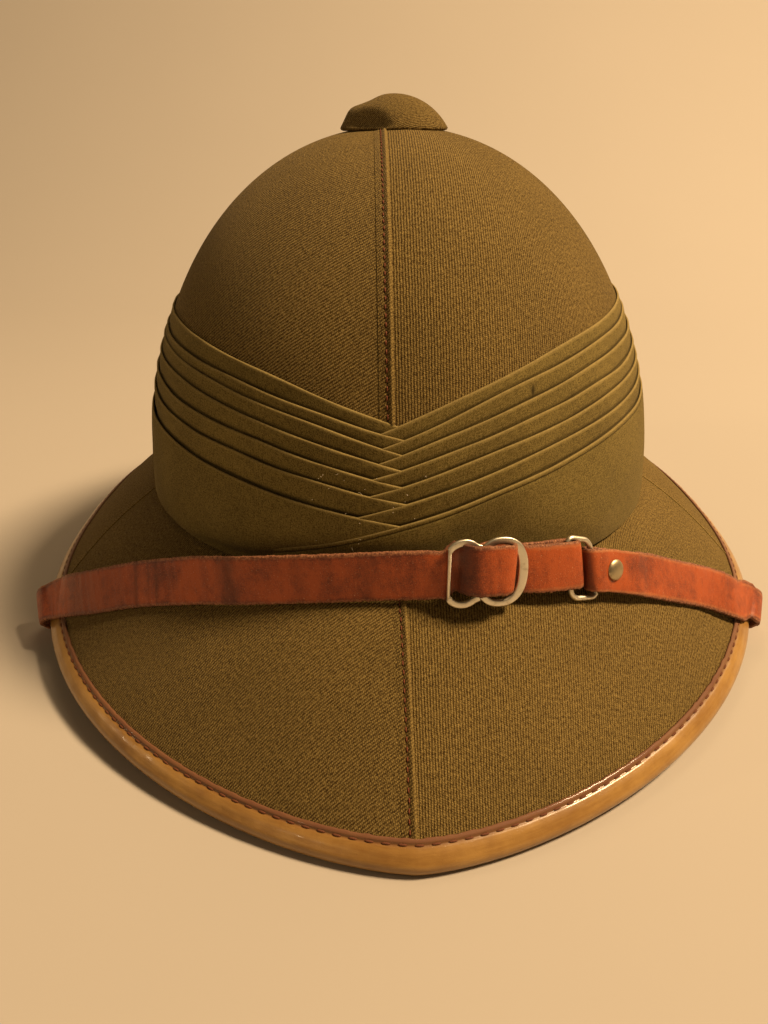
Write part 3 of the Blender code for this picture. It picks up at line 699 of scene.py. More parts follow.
@dataclass(frozen=True)
class TwillCloth:
    """Cotton drill: raised ribs across the pattern's first number, in short dashes where the weft crosses."""

    name: str = "drill_twill"
    valley: Colour = (0.050, 0.027, 0.006)
    ridge: Colour = (0.262, 0.180, 0.056)
    fleck: Colour = (0.46, 0.35, 0.15)
    speck: Colour = (0.028, 0.016, 0.004)
    # lighter colour of the seams' folded edges: partly rubbed wear, partly a painted highlight where the fold
    # faces the light
    rubbed: Colour = (0.30, 0.205, 0.065)
    # painted shade for the sewn dents beside the seams' folds
    groove: Colour = (0.030, 0.015, 0.004)
    pitch: float = 0.84
    dash: float = 0.62
    depth: float = 0.32

    def make(self) -> bpy.types.Material:
        """The material."""
        s = Shader(self.name)
        vector, u, v = s.pattern()
        drift = (s.noise(vector, 7.0, 2.0) - 0.5) * 3.6 + (s.noise(vector, 1.2, 2.0) - 0.5) * 2.6
        phase = u * (2 * np.pi / self.pitch) + drift
        rib = phase.sine() * 0.5 + 0.5
        dash = (v * (2 * np.pi / self.dash) + phase * 0.5 + drift * 2.0).sine() * 0.5 + 0.5
        tuft = s.noise(s.joined(u * 1.0, v * 0.55), 0.50, 3.0, 0.8)
        fine = s.noise(vector, 1.5, 4.0, 0.7)
        blotch = s.noise(s.place(), 26.0, 4.0, 0.6)
        weave = rib * (0.30 + dash * 0.34) + (tuft - 0.5) * 2.5 + (fine - 0.5) * 0.7 + 0.20
        colour = s.blend(self.valley, self.ridge, weave.step(-0.06, 0.98))
        colour = s.tinted(colour, 0.58 + blotch * 0.42 + fine * 0.42)
        fleck = (s.noise(vector, 0.34, 1.0) - 0.68).clamped() * 4.0
        dark = (0.30 - s.noise(vector, 0.9, 1.0)).clamped() * 6.0
        colour = s.blend(colour, self.fleck, fleck)
        colour = s.blend(colour, self.speck, dark)
        # painted highlight and rubbed wear along the seams' folded edges
        colour = s.blend(colour, self.rubbed, s.mark("edge") * (0.35 + tuft * 0.5))
        # painted shade in the seams' sewn dents
        colour = s.blend(colour, self.groove, s.mark("groove") * 0.7)
        normal = s.bump(rib * (0.45 + dash * 0.3) + tuft * 0.9, self.depth, 1.0)
        normal = s.bump(s.noise(s.place(), 8.0, 3.0), 0.5, 0.5, normal)
        return s.surface({"Base Color": colour, "Roughness": 0.95, "Normal": normal, **SOFT})


@dataclass(frozen=True)
class BandCloth:
    """Fine plain-woven cotton: warp and weft threads of uneven thickness; along the folded edges, rubbed wear
    and a painted highlight.
    """

    name: str = "band_weave"
    shade: Colour = (0.064, 0.043, 0.011)
    light: Colour = (0.255, 0.188, 0.056)
    # lighter colour of the folds' upper edges: partly rubbed wear, partly a painted highlight where they face
    # the light
    rubbed: Colour = (0.36, 0.265, 0.10)
    stain: Colour = (0.012, 0.009, 0.004)
    # painted shadow in the crack above each fold's edge and painted shade in the sewn hem line
    groove: Colour = (0.020, 0.012, 0.003)
    thread: float = 0.46

    def make(self) -> bpy.types.Material:
        """The material."""
        s = Shader(self.name)
        vector, u, v = s.pattern()
        shift = (s.noise(vector, 6.0, 1.0) - 0.5) * 1.2
        warp = (u * (2 * np.pi / self.thread) + shift).sine() * 0.5 + 0.5
        weft = (v * (2 * np.pi / self.thread) + shift).sine() * 0.5 + 0.5
        over = warp * (1.0 - weft) + weft * (1.0 - warp)
        slub = s.noise(s.joined(u * 0.22, v * 1.3), 0.6, 3.0, 0.7)
        pick = s.noise(s.joined(u * 1.3, v * 0.22), 0.6, 3.0, 0.7)
        grain = s.noise(vector, 0.45, 3.0, 0.8)
        blotch = s.noise(s.place(), 22.0, 3.0, 0.55)
        mix = over * 0.16 + (slub - 0.5) * 0.35 + (pick - 0.5) * 0.50 + (grain - 0.5) * 1.3 + 0.50
        colour = s.blend(self.shade, self.light, mix.step(0.28, 0.86))
        colour = s.tinted(colour, 0.62 + blotch * 0.62)
        # painted highlight and rubbed wear along the folds' upper edges
        colour = s.blend(colour, self.rubbed, s.mark("edge") * (0.25 + grain * 0.6))
        colour = s.blend(colour, self.stain, s.mark("stain") * (0.75 + grain * 0.5))
        # painted shadow above each fold's edge and painted shade along the hem
        colour = s.blend(colour, self.groove, s.mark("groove") * 0.8)
        normal = s.bump(over * 0.5 + slub * 0.3 + pick * 0.3, 0.10, 0.8)
        normal = s.bump(s.noise(s.place(), 7.0, 2.0), 0.5, 0.5, normal)
        return s.surface({"Base Color": colour, "Roughness": 0.92, "Normal": normal, **SOFT})


@dataclass(frozen=True)
class BindingLeather:
    """Smooth tan leather: cloudy, with fine pores, painted shade along the sewing groove and reddish at the cut
    edge.
    """

    name: str = "tan_binding"
    tan: Colour = (0.40, 0.222, 0.058)
    brown: Colour = (0.24, 0.115, 0.026)
    cut: Colour = (0.135, 0.046, 0.018)
    # painted shade for the sewing groove
    groove: Colour = (0.11, 0.035, 0.012)

    def make(self) -> bpy.types.Material:
        """The material."""
        s = Shader(self.name)
        vector, u, v = s.pattern()
        point = s.place()
        cloud = s.noise(point, 14.0, 4.0, 0.6)
        streak = s.noise(s.joined(u * 0.12, v * 1.0), 1.2, 3.0, 0.6)
        pores = s.specks(vector, 0.55)
        colour = s.blend(self.brown, self.tan, (cloud * 0.75 + streak * 0.45).step(0.30, 0.85))
        cut = s.mark("cut")
        colour = s.blend(colour, self.cut, cut * (0.60 + streak * 0.6))
        # painted shade along the sewing groove
        colour = s.blend(colour, self.groove, s.mark("groove") * 0.60)
        wear = s.noise(point, 5.0, 4.0, 0.7)
        rough = 0.24 + wear * 0.26 + cut * 0.4
        height = pores.step(0.0, 0.35) * 0.35 + streak * 0.4 + s.noise(vector, 1.6, 3.0) * 0.6
        normal = s.bump(height, 0.10, 0.7)
        gloss = {"Specular IOR Level": 0.5, "Coat Weight": 0.30, "Coat Roughness": 0.12}
        return s.surface({"Base Color": colour, "Roughness": rough, "Normal": normal, **gloss})


@dataclass(frozen=True)
class StrapLeather:
    """Worn reddish-brown strap leather: dark patches, creases across, pale specks, rough cut edges, painted
    shade at the buckle and the ring, and rubbed wear with a painted highlight near its borders.
    """

    name: str = "russet_strap"
    russet: Colour = (0.44, 0.083, 0.015)
    dark: Colour = (0.11, 0.017, 0.006)
    rubbed: Colour = (0.60, 0.26, 0.12)
    fleck: Colour = (0.62, 0.34, 0.18)
    raw_dark: Colour = (0.085, 0.020, 0.008)
    raw_light: Colour = (0.46, 0.20, 0.09)
    # colour of the dark places along the strap: painted shade at the buckle and the ring, and darker patches
    # elsewhere
    stain: Colour = (0.045, 0.009, 0.004)
    # lighter colour near the strap's borders beyond the buckle: rubbed wear and a painted highlight
    worn: Colour = (0.50, 0.17, 0.055)

    def make(self) -> bpy.types.Material:
        """The material."""
        s = Shader(self.name)
        vector, u, v = s.pattern()
        patch = s.noise(s.joined(u, v * 0.5), 17.0, 2.0, 0.5)
        soft = s.noise(s.joined(u, v * 0.8), 3.4, 4.0, 0.7, 0.3)
        grain = s.noise(vector, 0.42, 4.0, 0.8)
        pore = s.specks(vector, 0.5)
        scuff = s.noise(vector, 1.1, 5.0, 0.8)
        border = s.noise(s.joined(u, v * 0.0), 2.6, 3.0, 0.6)
        rim = (v.absolute() + border * 1.6).step(6.4, 8.4)
        tone = patch * 0.95 + soft * 0.60 + grain * 0.80 - 0.48 - rim * 0.26
        colour = s.blend(self.dark, self.russet, tone.step(0.36, 0.86))
        crack = s.noise(s.joined(u * 1.0, v * 0.22), 1.1, 3.0, 0.6, 0.6)
        colour = s.blend(colour, self.dark, crack.step(0.58, 0.74) * 0.42)
        colour = s.blend(colour, self.rubbed, (scuff - 0.57).clamped() * 2.8)
        colour = s.blend(colour, self.fleck, (s.noise(vector, 0.5, 1.0) - 0.67).clamped() * 5.0)
        colour = s.blend(colour, self.dark, (0.42 - grain).clamped() * 2.6)
        colour = s.blend(colour, self.rubbed, s.mark("rim") * scuff.step(0.40, 0.60) * 0.9)
        fibre = s.noise(s.joined(u * 1.0, v * 0.5), 0.5, 3.0, 0.7)
        raw = s.blend(self.raw_dark, self.raw_light, fibre.step(0.36, 0.72))
        colour = s.blend(colour, raw, s.mark("cut"))
        # painted shade at the buckle and the ring, and darker patches, from the dark places along the strap
        colour = s.blend(colour, self.stain, s.mark("dark") * 0.85)
        # rubbed wear and a painted highlight near the borders beyond the buckle
        colour = s.blend(colour, self.worn, s.mark("worn") * 0.55)
        height = crack * 0.45 + grain * 0.5 + pore.step(0.0, 0.4) * 0.3 + soft * 0.5
        normal = s.bump(height, 0.16, 0.9)
        rough = 0.36 + grain * 0.26 + s.mark("cut") * 0.3
        gloss = {"Specular IOR Level": 0.38, "Coat Weight": 0.08, "Coat Roughness": 0.25}
        return s.surface({"Base Color": colour, "Roughness": rough, "Normal": normal, **gloss})


@dataclass(frozen=True)
class WhiteMetal:
    """Pale, slightly tarnished metal with fine scratches."""

    name: str = "pale_metal"
    bright: Colour = (0.80, 0.74, 0.60)
    tarnish: Colour = (0.34, 0.26, 0.14)
    roughness: float = 0.30

    def make(self) -> bpy.types.Material:
        """The material."""
        s = Shader(self.name)
        point = s.place()
        cloud = s.noise(point, 3.2, 4.0, 0.65)
        scratch = s.noise(point, 0.35, 3.0, 0.7, 1.0)
        colour = s.blend(self.bright, self.tarnish, (cloud * 0.8 + scratch * 0.3).step(0.52, 0.85) * 0.8)
        rough = self.roughness + cloud * 0.22
        normal = s.bump(scratch * 0.5 + s.noise(point, 1.5, 2.0), 0.04, 0.6)
        return s.surface({"Base Color": colour, "Metallic": 1.0, "Roughness": rough, "Normal": normal})


@dataclass(frozen=True)
class Thread:
    """Waxed sewing thread, twisted."""

    name: str
    colour: Colour

    def make(self) -> bpy.types.Material:
        """The material."""
        s = Shader(self.name)
        _, u, v = s.pattern()
        twist = (u * 14.0 + v * 7.0).sine() * 0.5 + 0.5
        fuzz = s.noise(s.place(), 0.7, 3.0, 0.7)
        base = s.blend(tuple(c * 0.45 for c in self.colour), self.colour, twist * 0.6 + fuzz * 0.5)
        normal = s.bump(twist + fuzz * 0.5, 0.06, 0.8)
        return s.surface({"Base Color": base, "Roughness": 0.75, "Specular IOR Level": 0.3, "Normal": normal})


@dataclass(frozen=True)
class Lining:
    """The plain cotton that lines the dome inside."""

    name: str = "dome_lining"
    colour: Colour = (0.17, 0.135, 0.075)

    def make(self) -> bpy.types.Material:
        """The material."""
        s = Shader(self.name)
        _, u, v = s.pattern()
        weave = (u * 9.0).sine() * (v * 9.0).sine() * 0.5 + 0.5
        cloud = s.noise(s.place(), 18.0, 4.0, 0.6)
        base = s.blend(tuple(c * 0.6 for c in self.colour), self.colour, weave * 0.3 + cloud * 0.8)
        normal = s.bump(weave, 0.08, 0.6)
        return s.surface({"Base Color": base, "Roughness": 0.95, "Specular IOR Level": 0.2, "Normal": normal})


@dataclass(frozen=True)
class StudioFloor:
    """A plain pale floor."""

    name: str = "pale_floor"
    colour: Colour = (0.445, 0.400, 0.345)

    def make(self) -> bpy.types.Material:
        """The material."""
        s = Shader(self.name)
        cloud = s.noise(s.place(), 260.0, 2.0)
        base = s.blend(tuple(c * 0.96 for c in self.colour), self.colour, cloud)
        return s.surface({"Base Color": base, "Roughness": 0.9, "Specular IOR Level": 0.1})


class Finish(Enum):
    """The finishes, each made once."""

    DRILL = TwillCloth()
    BAND = BandCloth()
    BINDING = BindingLeather()
    STRAP = StrapLeather()
    METAL = WhiteMetal()
    RIVET = WhiteMetal("rivet_metal", (0.50, 0.41, 0.25), (0.20, 0.14, 0.07), 0.30)
    DARK_THREAD = Thread("dark_thread", (0.17, 0.055, 0.022))
    RED_THREAD = Thread("red_thread", (0.21, 0.060, 0.022))
    LINT = Thread("lint", (0.62, 0.52, 0.36))
    LINING = Lining()
    FLOOR = StudioFloor()

    def material(self) -> bpy.types.Material:
        """The finish's material, made when it is first asked for."""
        made = bpy.data.materials.get(self.value.name)
        return made or self.value.make()


def dress(piece: bpy.types.Object, *finishes: Finish) -> None:
    """Gives a piece its finishes, in the order of its sheets' numbers."""
    piece.data.materials.clear()
    for finish in finishes:
        piece.data.materials.append(finish.material())


# ---- crown and brim


class Weave(Enum):
    """How the ribs of a panel lie: turned by so many degrees from upright."""

    UPRIGHT = 0.0
    SLANTED = 57.0

    def turned(self, across: Array, up: Array) -> Array:
        """Pattern coordinates whose first number grows square to the ribs."""
        turn = np.radians(self.value)
        first, second = across * np.cos(turn) - up * np.sin(turn), across * np.sin(turn) + up * np.cos(turn)
        return np.stack([first, second], axis=-1)


# The fold's front, from the ridge down: sideways, a share of the fold's height, and how far under that.
NOSE = table("side share sunk", [(0.16, 0.72, 0.0), (0.22, 0.35, 0.0), (0.12, 0.0, 0.1)])


@dataclass
class SeamSizes:
    """The lapped, topstitched fold of a seam, seen in cross-section."""

    fold: float = 2.5
    lead: float = 1.5
    ramp: float = 1.9
    height: float = 0.75
    ridge: tuple[float, float] = (-0.45, 0.60)
    dent: tuple[float, float] = (0.25, 0.35)
    stitch_back: float = 1.8
    pitch: float = 2.6
    stitch: float = 1.7
    thread: float = 0.24

    def profile(self) -> Array:
        """The fold's cross-section: a smooth ramp up to a ridge with a sewn dent before it, then sharply down.

        Returns:
            Rows of sideways and upward distance, from under the surface to under it again.
        """
        x = np.linspace(-self.fold - self.lead, 0.0, 18)
        rise = np.clip((x + self.fold + self.lead) / self.ramp, 0, 1)
        crown = self.height * (0.40 + 0.60 * bell(x, *self.ridge))
        depth, width = self.dent
        top = eased(rise) * crown - depth * bell(x, -self.stitch_back, width) - 0.02 * (1 - rise)
        nose = np.stack([NOSE["side"], self.height * NOSE["share"] - NOSE["sunk"]], axis=1)
        return np.vstack([np.stack([x, top], axis=1), nose])


@dataclass
class SeamLine:
    """A seam along a line on a surface, with the cloth direction to its folded side."""

    name: str
    path: Array
    upward: Array
    side: int
    grain: int = 1
    sizes: SeamSizes = field(default_factory=SeamSizes)
    sewn: bool = True

    def across(self) -> Array:
        """Direction across the seam towards its folded edge."""
        return unit(np.cross(directions(self.path), self.upward)) * self.side

    def cloth(self) -> Sheet:
        """The folded cloth.

        Returns:
            The sheet, with its folded edge marked for rubbed wear and a painted highlight, and its sewn groove
            for painted shade.
        """
        shape = ribbon(self.path, self.across(), self.upward, self.sizes.profile())
        from_fold = shape.pattern[..., 1]
        # the fold's edge: rubbed wear and a painted highlight
        shape.marks["edge"] = bell(from_fold, -0.15, 0.38) * (0.8 + 0.4 * wobble(shape.pattern[..., 0], 3.0, 2))
        # painted shade in the dent along the stitches
        shape.marks["groove"] = bell(from_fold, -self.sizes.stitch_back, 0.32) * self.sewn
        shape.pattern = Weave.SLANTED.turned(from_fold, shape.pattern[..., 0] * self.grain)
        shape.inside = tuple(self.path.mean(axis=0) - self.upward.mean(axis=0) * 60)
        return shape

    def thread(self) -> list[Sheet]:
        """The stitches beside the fold, which wander a little from a straight line.

        Returns:
            One sheet for each stitch; none on a seam that isn't topstitched.
        """
        if not self.sewn:
            return []
        line = self.path - self.across() * self.sizes.stitch_back
        drift = wobble(run_along(self.path, 0), 9.0, 5)[:, None] * 0.12
        lifted = line + self.across() * drift + self.upward * (self.sizes.height * 0.42 - 0.02)
        return stitches(lifted, self.upward, self.sizes.pitch, self.sizes.stitch, self.sizes.thread)


@dataclass
class Crown:
    """The dome's cloth cover, its inside and the seams over its front and rear, whose climbs are radians."""

    proud: float = 0.6
    dent: float = 0.22
    columns: int = 150
    rows: int = 96
    seam_x: float = -3.9
    seam_feet: tuple[float, float] = (0.368, 0.53)
    seam_stop: float = 0.152

    def seam_angle(self, climb: Array) -> Array:
        """Angle of the front seam at each height: the seam keeps its distance from the middle plane."""
        width = FORM.half_width * np.cos(climb) ** (2 / FORM.power)
        return np.arcsin(np.clip(self.seam_x / np.maximum(width, TINY), -0.95, 0.0))

    def half(self, side: int, rows: int, out: float, soft: float) -> Array:
        """Points of one half of the dome, between the front and the rear seam.

        Args:
            side: -1 for the left half, 1 for the right.
            rows: rows from the base up to the top.
            out: distance outwards from the dome's form.
            soft: depth of its shallow dents.

        Returns:
            Points of shape (rows, columns, xyz).
        """
        climb = np.linspace(0, 1, rows) ** 0.92 * np.pi / 2
        seam = self.seam_angle(climb)[:, None]
        angle = seam + (side * np.pi - seam) * np.linspace(0, 1, self.columns)[None]
        climb = np.broadcast_to(climb[:, None], angle.shape)
        return FORM.dome(angle, climb, out + soft * self.dents(angle, climb))

    @staticmethod
    def dents(angle: Array, climb: Array) -> Array:
        """The cover's shallow dents, from -1 to 1: none at the base and at the top."""
        return round_wobble(angle, 5, 11) * np.sin(climb * 2)

    def panel(self, side: int, weave: Weave) -> Sheet:
        """One half of the cover; its pattern is the way round from the front seam and the way up."""
        points = self.half(side, self.rows, self.proud, self.dent)
        return Sheet(points, weave.turned(run_along(points, 1) * side, run_along(points, 0)))

    def lining(self, side: int) -> list[Sheet]:
        """One half of the inside.

        Args:
            side: -1 for the left half, 1 for the right.

        Returns:
            The inside, and the lower edge between it and the cover.
        """
        inner = self.half(side, 40, -FORM.wall, 0.0)
        edge = np.stack([self.half(side, self.rows, self.proud, self.dent)[0], inner[0]])
        return [laid_out(inner, (1, 0), 1), laid_out(edge, (1, 0), 1)]

    def seam(self, name: str, front: bool) -> SeamLine:
        """A seam over the dome.

        Args:
            name: the piece's name.
            front: whether it is the front seam or the rear one.

        Returns:
            The seam, from the band up to the button.
        """
        climb = np.linspace(self.seam_feet[0 if front else 1], np.pi / 2 - self.seam_stop, 120)
        angle = self.seam_angle(climb) if front else np.full_like(climb, np.pi)
        out = self.proud + self.dent * self.dents(angle, climb)
        path = FORM.dome(angle, climb, out)
        upward = unit(FORM.dome(angle, climb, out + 1.0) - path)
        return SeamLine(name, path, upward, 1 if front else -1)

    def build(self) -> list[SeamLine]:
        """Makes the crown's cover, and returns its seams."""
        sheets = [self.panel(-1, Weave.SLANTED), self.panel(1, Weave.UPRIGHT)]
        sheets += self.lining(-1) + self.lining(1)
        build_piece("crown_cover", sheets, "drill_cloth", Finish.DRILL, Finish.LINING, replaces="crown")
        return [self.seam("crown_front_seam", True), self.seam("crown_rear_seam", False)]


@dataclass
class Brim:
    """The brim's cloth cover: four panels, joined at the front, the rear and both sides."""

    cloth: float = 0.3
    seam_x: float = -1.6
    seam_nears: float = 0.55
    split: tuple[float, float] = (0.7, 145.0)
    side_seams: tuple[float, float] = (-76.0, 79.5)
    ledge: float = 5.5
    gap: float = 0.3
    dent: float = 0.3

    def wave(self, angle: Array, share: Any) -> Array:
        """Height of the cover's shallow dents: none at the dome and at the edge."""
        return self.dent * round_wobble(angle, 7, 3) * np.sin(np.pi * share)

    def section(self, angle: Array) -> Array:
        """The brim's cross-section, from the ledge's foot over the top and the edge to the underside.

        Args:
            angle: radians round the helmet.

        Returns:
            Points of shape (section, angle, xyz).
        """
        inside, outside = FORM.base_line(angle, -FORM.wall), FORM.base_line(angle, self.gap)
        rows = [inside - [0, 0, self.gap + self.ledge], inside - [0, 0, self.gap], outside - [0, 0, self.gap]]
        for share in np.linspace(0.03, 1.0, 46):
            off = self.cloth + self.wave(angle, share)
            rows.append(FORM.brim_face(angle, np.full_like(angle, share), 1, off))
        _, slope, face = FORM.brim_axes(angle, 1.0)
        for turn in np.radians(np.linspace(60, -60, 5)):
            half = FORM.brim_at_edge / 2 + self.cloth
            rows.append(FORM.edge_line(angle) + slope * half * np.cos(turn) * 0.9 + face * half * np.sin(turn))
        for share in np.linspace(1.0, 0.02, 30):
            rows.append(FORM.brim_face(angle, np.full_like(angle, share), -1))
        rows.append(rows[0])
        return np.stack(rows)

    def panel(self, start: float, end: float, count: int, weave: Weave) -> Sheet:
        """One panel of the cover between two angles.

        Args:
            start: the panel's first angle, in radians.
            end: its last angle.
            count: columns.
            weave: how its ribs lie.

        Returns:
            The sheet; its pattern is the brim laid out flat.
        """
        angle = np.linspace(start, end, count)
        points = self.section(angle)
        slant = run_along(points, 0)
        reach = np.linalg.norm(FORM.base_line(angle)[:, :2], axis=-1)
        heading = np.arctan2(points[..., 0], -points[..., 1])
        flat = reach[None] + slant - self.ledge - FORM.wall
        return Sheet(points, weave.turned(flat * np.sin(heading), -flat * np.cos(heading)))

    def seam(self, name: str, degrees: float, side: int, sizes: SeamSizes, sewn: bool) -> SeamLine:
        """A seam that runs down the brim's slope.

        Args:
            name: the piece's name.
            degrees: its angle round the helmet; the front one, at 0, lies a little to the left.
            side: which way its folded edge looks.
            sizes: its cross-section.
            sewn: whether it is topstitched.

        Returns:
            The seam.
        """
        share = np.linspace(0.02, 0.93, 70)
        angle = np.full_like(share, np.radians(degrees))
        if degrees == 0:
            line = FORM.brim_face(angle, share, 1)
            angle = np.arctan2(self.seam_x * (1 - self.seam_nears * share), -line[:, 1])
        path = FORM.brim_face(angle, share, 1, self.cloth)
        upward = FORM.brim_axes(angle, share)[2]
        return SeamLine(name, path + upward * self.wave(angle, share)[:, None], upward, side, -1, sizes, sewn)

    def build(self) -> list[SeamLine]:
        """Makes the brim's cover, and returns its seams."""
        left, right = np.radians(self.side_seams)
        front = np.arctan2(self.seam_x * self.split[0], self.split[1])
        panels = [
            self.panel(front, left, 130, Weave.SLANTED),
            self.panel(front, right, 130, Weave.UPRIGHT),
            self.panel(left, -np.pi, 120, Weave.UPRIGHT),
            self.panel(right, np.pi, 120, Weave.SLANTED),
        ]
        build_piece("brim_cover", panels, "drill_cloth", Finish.DRILL, replaces="brim")
        flat = SeamSizes(fold=1.6, height=0.34, stitch_back=1.2)
        return [
            self.seam("brim_front_seam", 0.0, -1, SeamSizes(height=0.62), True),
            self.seam("brim_left_seam", self.side_seams[0], -1, flat, False),
            self.seam("brim_right_seam", self.side_seams[1], 1, flat, False),
            self.seam("brim_rear_seam", 180.0, 1, SeamSizes(height=0.62), True),
        ]


def build_seams(seams: list[SeamLine]) -> None:
    """Makes the seams' folds and, for those that are topstitched, their thread."""
    for seam in seams:
        build_piece(seam.name, [seam.cloth()], "drill_cloth", Finish.DRILL, closed=False)
        thread = seam.thread()
        if thread:
            build_piece(seam.name + "_thread", thread, "drill_cloth", Finish.RED_THREAD)


# Relief of the binding's top leg, by the distance beyond its sewing line.
RELIEF = table("beyond width height", [(0.0, 0.42, -0.34), (2.3, 1.5, 0.22), (-1.6, 0.5, -0.25)])


@dataclass
class Binding:
    """The leather folded round the brim's edge, and the thread that holds it."""

    leather: float = 1.0
    leg: float = 8.6
    sewing: float = 1.6
    pitch: float = 4.4
    stitch: float = 3.0
    thread: float = 0.36
    columns: int = 720

    def line(self) -> float:
        """Place of the sewing line, outwards from the edge's middle."""
        return FORM.binding_round - self.leg + self.sewing

    def section(self) -> Array:
        """The fold's outline: over the top leg, round the edge, along the lower leg and back inside.

        Returns:
            Rows of distances outwards and up from the edge's middle.
        """
        outer, inner, leg = FORM.binding_round, FORM.binding_round - self.leather, FORM.binding_round - self.leg
        top = np.stack([np.linspace(leg + 0.12, 0, 22, endpoint=False), np.full(22, outer)], axis=1)
        turn = np.linspace(np.pi / 2, -np.pi / 2, 19)
        nose = np.stack([outer * np.cos(turn), outer * np.sin(turn)], axis=1)
        under = np.stack([np.linspace(0, leg, 10)[1:], np.full(9, -outer)], axis=1)
        back = np.stack([np.linspace(leg, 0, 6, endpoint=False), np.full(6, -inner)], axis=1)
        hollow = np.stack([inner * np.cos(turn[::-2]), inner * np.sin(turn[::-2])], axis=1)
        home = np.stack([np.linspace(0, leg, 10)[1:], np.full(9, inner)], axis=1)
        lip = np.array([[leg, outer - 0.15]])
        return np.vstack([top, nose, under, back, hollow, home, lip, top[:1]])

    def relief(self, out: Array, run: Array) -> Array:
        """How far the top leg stands off its even thickness.

        Args:
            out: distance outwards from the edge's middle.
            run: distance round the edge.

        Returns:
            A groove at the sewing, a swell beyond it and a rolled lip, and small waves.
        """
        beyond = out - self.line()
        even = sum(row["height"] * bell(beyond, row["beyond"], row["width"]) for row in RELIEF)
        return even + 0.10 * wobble(run, 11.0, 21) * bell(beyond, 2, 2.5)

    @staticmethod
    def slope_run(angle: Array) -> Array:
        """Length of the brim's slope, from the dome to the edge."""
        return np.linalg.norm(FORM.edge_line(angle) - FORM.base_line(angle), axis=-1)

    def points(self, angle: Array, section: Array) -> tuple[Array, Array]:
        """Points of the binding and the distance round the edge.

        Args:
            angle: radians round the helmet.
            section: rows of distances outwards and up from the edge's middle.

        Returns:
            Points of shape (section, angle, xyz), and the run round the edge at each angle.
        """
        _, slope, face = FORM.brim_axes(angle, 1.0)
        edge = FORM.edge_line(angle)
        run = run_along(edge, 0)
        slope_run = self.slope_run(angle)
        fray = wobbles(run, 8, (0.12, 5.1), (0.07, 1.9))
        rows = []
        for out, up in section:
            out = out + fray * bell(out, FORM.binding_round - self.leg, 0.4) * (up > 0)
            if np.all(out < 0):
                foot = FORM.brim_middle(angle, 1 + out / slope_run)
            else:
                foot = edge + slope * np.reshape(out, (-1, 1))
            lift = up + (self.relief(out, run) if up > FORM.binding_round - 0.2 else 0.0)
            rows.append(foot + face * np.reshape(np.broadcast_to(lift, angle.shape), (-1, 1)))
        return np.stack(rows), run

    def build(self) -> None:
        """Makes the binding and its stitches."""
        even = np.linspace(-np.pi, np.pi, self.columns + 1)
        angle = even - 0.25 * np.sin(even)
        section = self.section()
        points, run = self.points(angle, section)
        points[..., 2] = np.maximum(points[..., 2], 0.0)
        across = np.broadcast_to(run_along(section, 0)[:, None], points.shape[:2])
        sheet = Sheet(points, np.stack([np.broadcast_to(run[None], across.shape), across], axis=-1))
        line = self.line()
        upper = (section[:, 1] > FORM.binding_round - 0.3)[:, None]
        out = section[:, :1]
        sheet.marks["cut"] = (1 / (1 + np.exp((out - line + 0.25) / 0.16))) * (section[:, 1:] > 0)
        # painted shade along the sewing line
        sheet.marks["groove"] = bell(out, line, 0.5) * upper
        build_piece("binding_leather", [sheet], "tan_leather", Finish.BINDING, replaces="brim_binding")
        foot = FORM.brim_middle(angle, 1 + line / self.slope_run(angle))
        _, slope, upward = FORM.brim_axes(angle, 1.0)
        path = foot + upward * (FORM.binding_round - 0.30) + 0.12 * wobble(run, 17.0, 4)[:, None] * slope
        thread = stitches(path, upward, self.pitch, self.stitch, self.thread)
        build_piece("binding_thread", thread, "tan_leather", Finish.DARK_THREAD)


# ---- pugaree

# Heights of the folds' upper edges, from the top fold down.
FOLDS = table(
    "left_front left_side right_front right_side rear",
    [(97.2, 117.1, 96.3, 120.6, 118.8), (94.5, 111.0, 92.5, 116.3, 113.6),
     (90.5, 108.1, 88.8, 110.9, 109.5), (86.2, 103.0, 85.2, 105.1, 104.0), (82.2, 96.6, 80.7, 100.2, 98.4),
     (77.7, 90.5, 75.5, 94.9, 92.7), (70.7, 82.7, 69.6, 89.3, 86.0)],
)


# A strip's folded edge, from its inner side over the top: distance down and behind the edge.
LIP = table("down sink", [(1.3, -0.80), (0.55, -0.78), (0.12, -0.60), (0.0, -0.34), (0.10, -0.10), (0.38, 0.0)])
HEM = np.array([0.8, 1.1, 1.3, 1.45, 1.6, 1.9])  # close rows below the wide strip's edge, where it is sewn
# Hollows and swells of the wide plain strip.
HOLLOWS = table("angle width out", [(15.0, 8.0, -2.4), (36.0, 7.0, 1.9), (-29.0, 5.0, 1.6), (-42.0, 6.0, -1.3)])


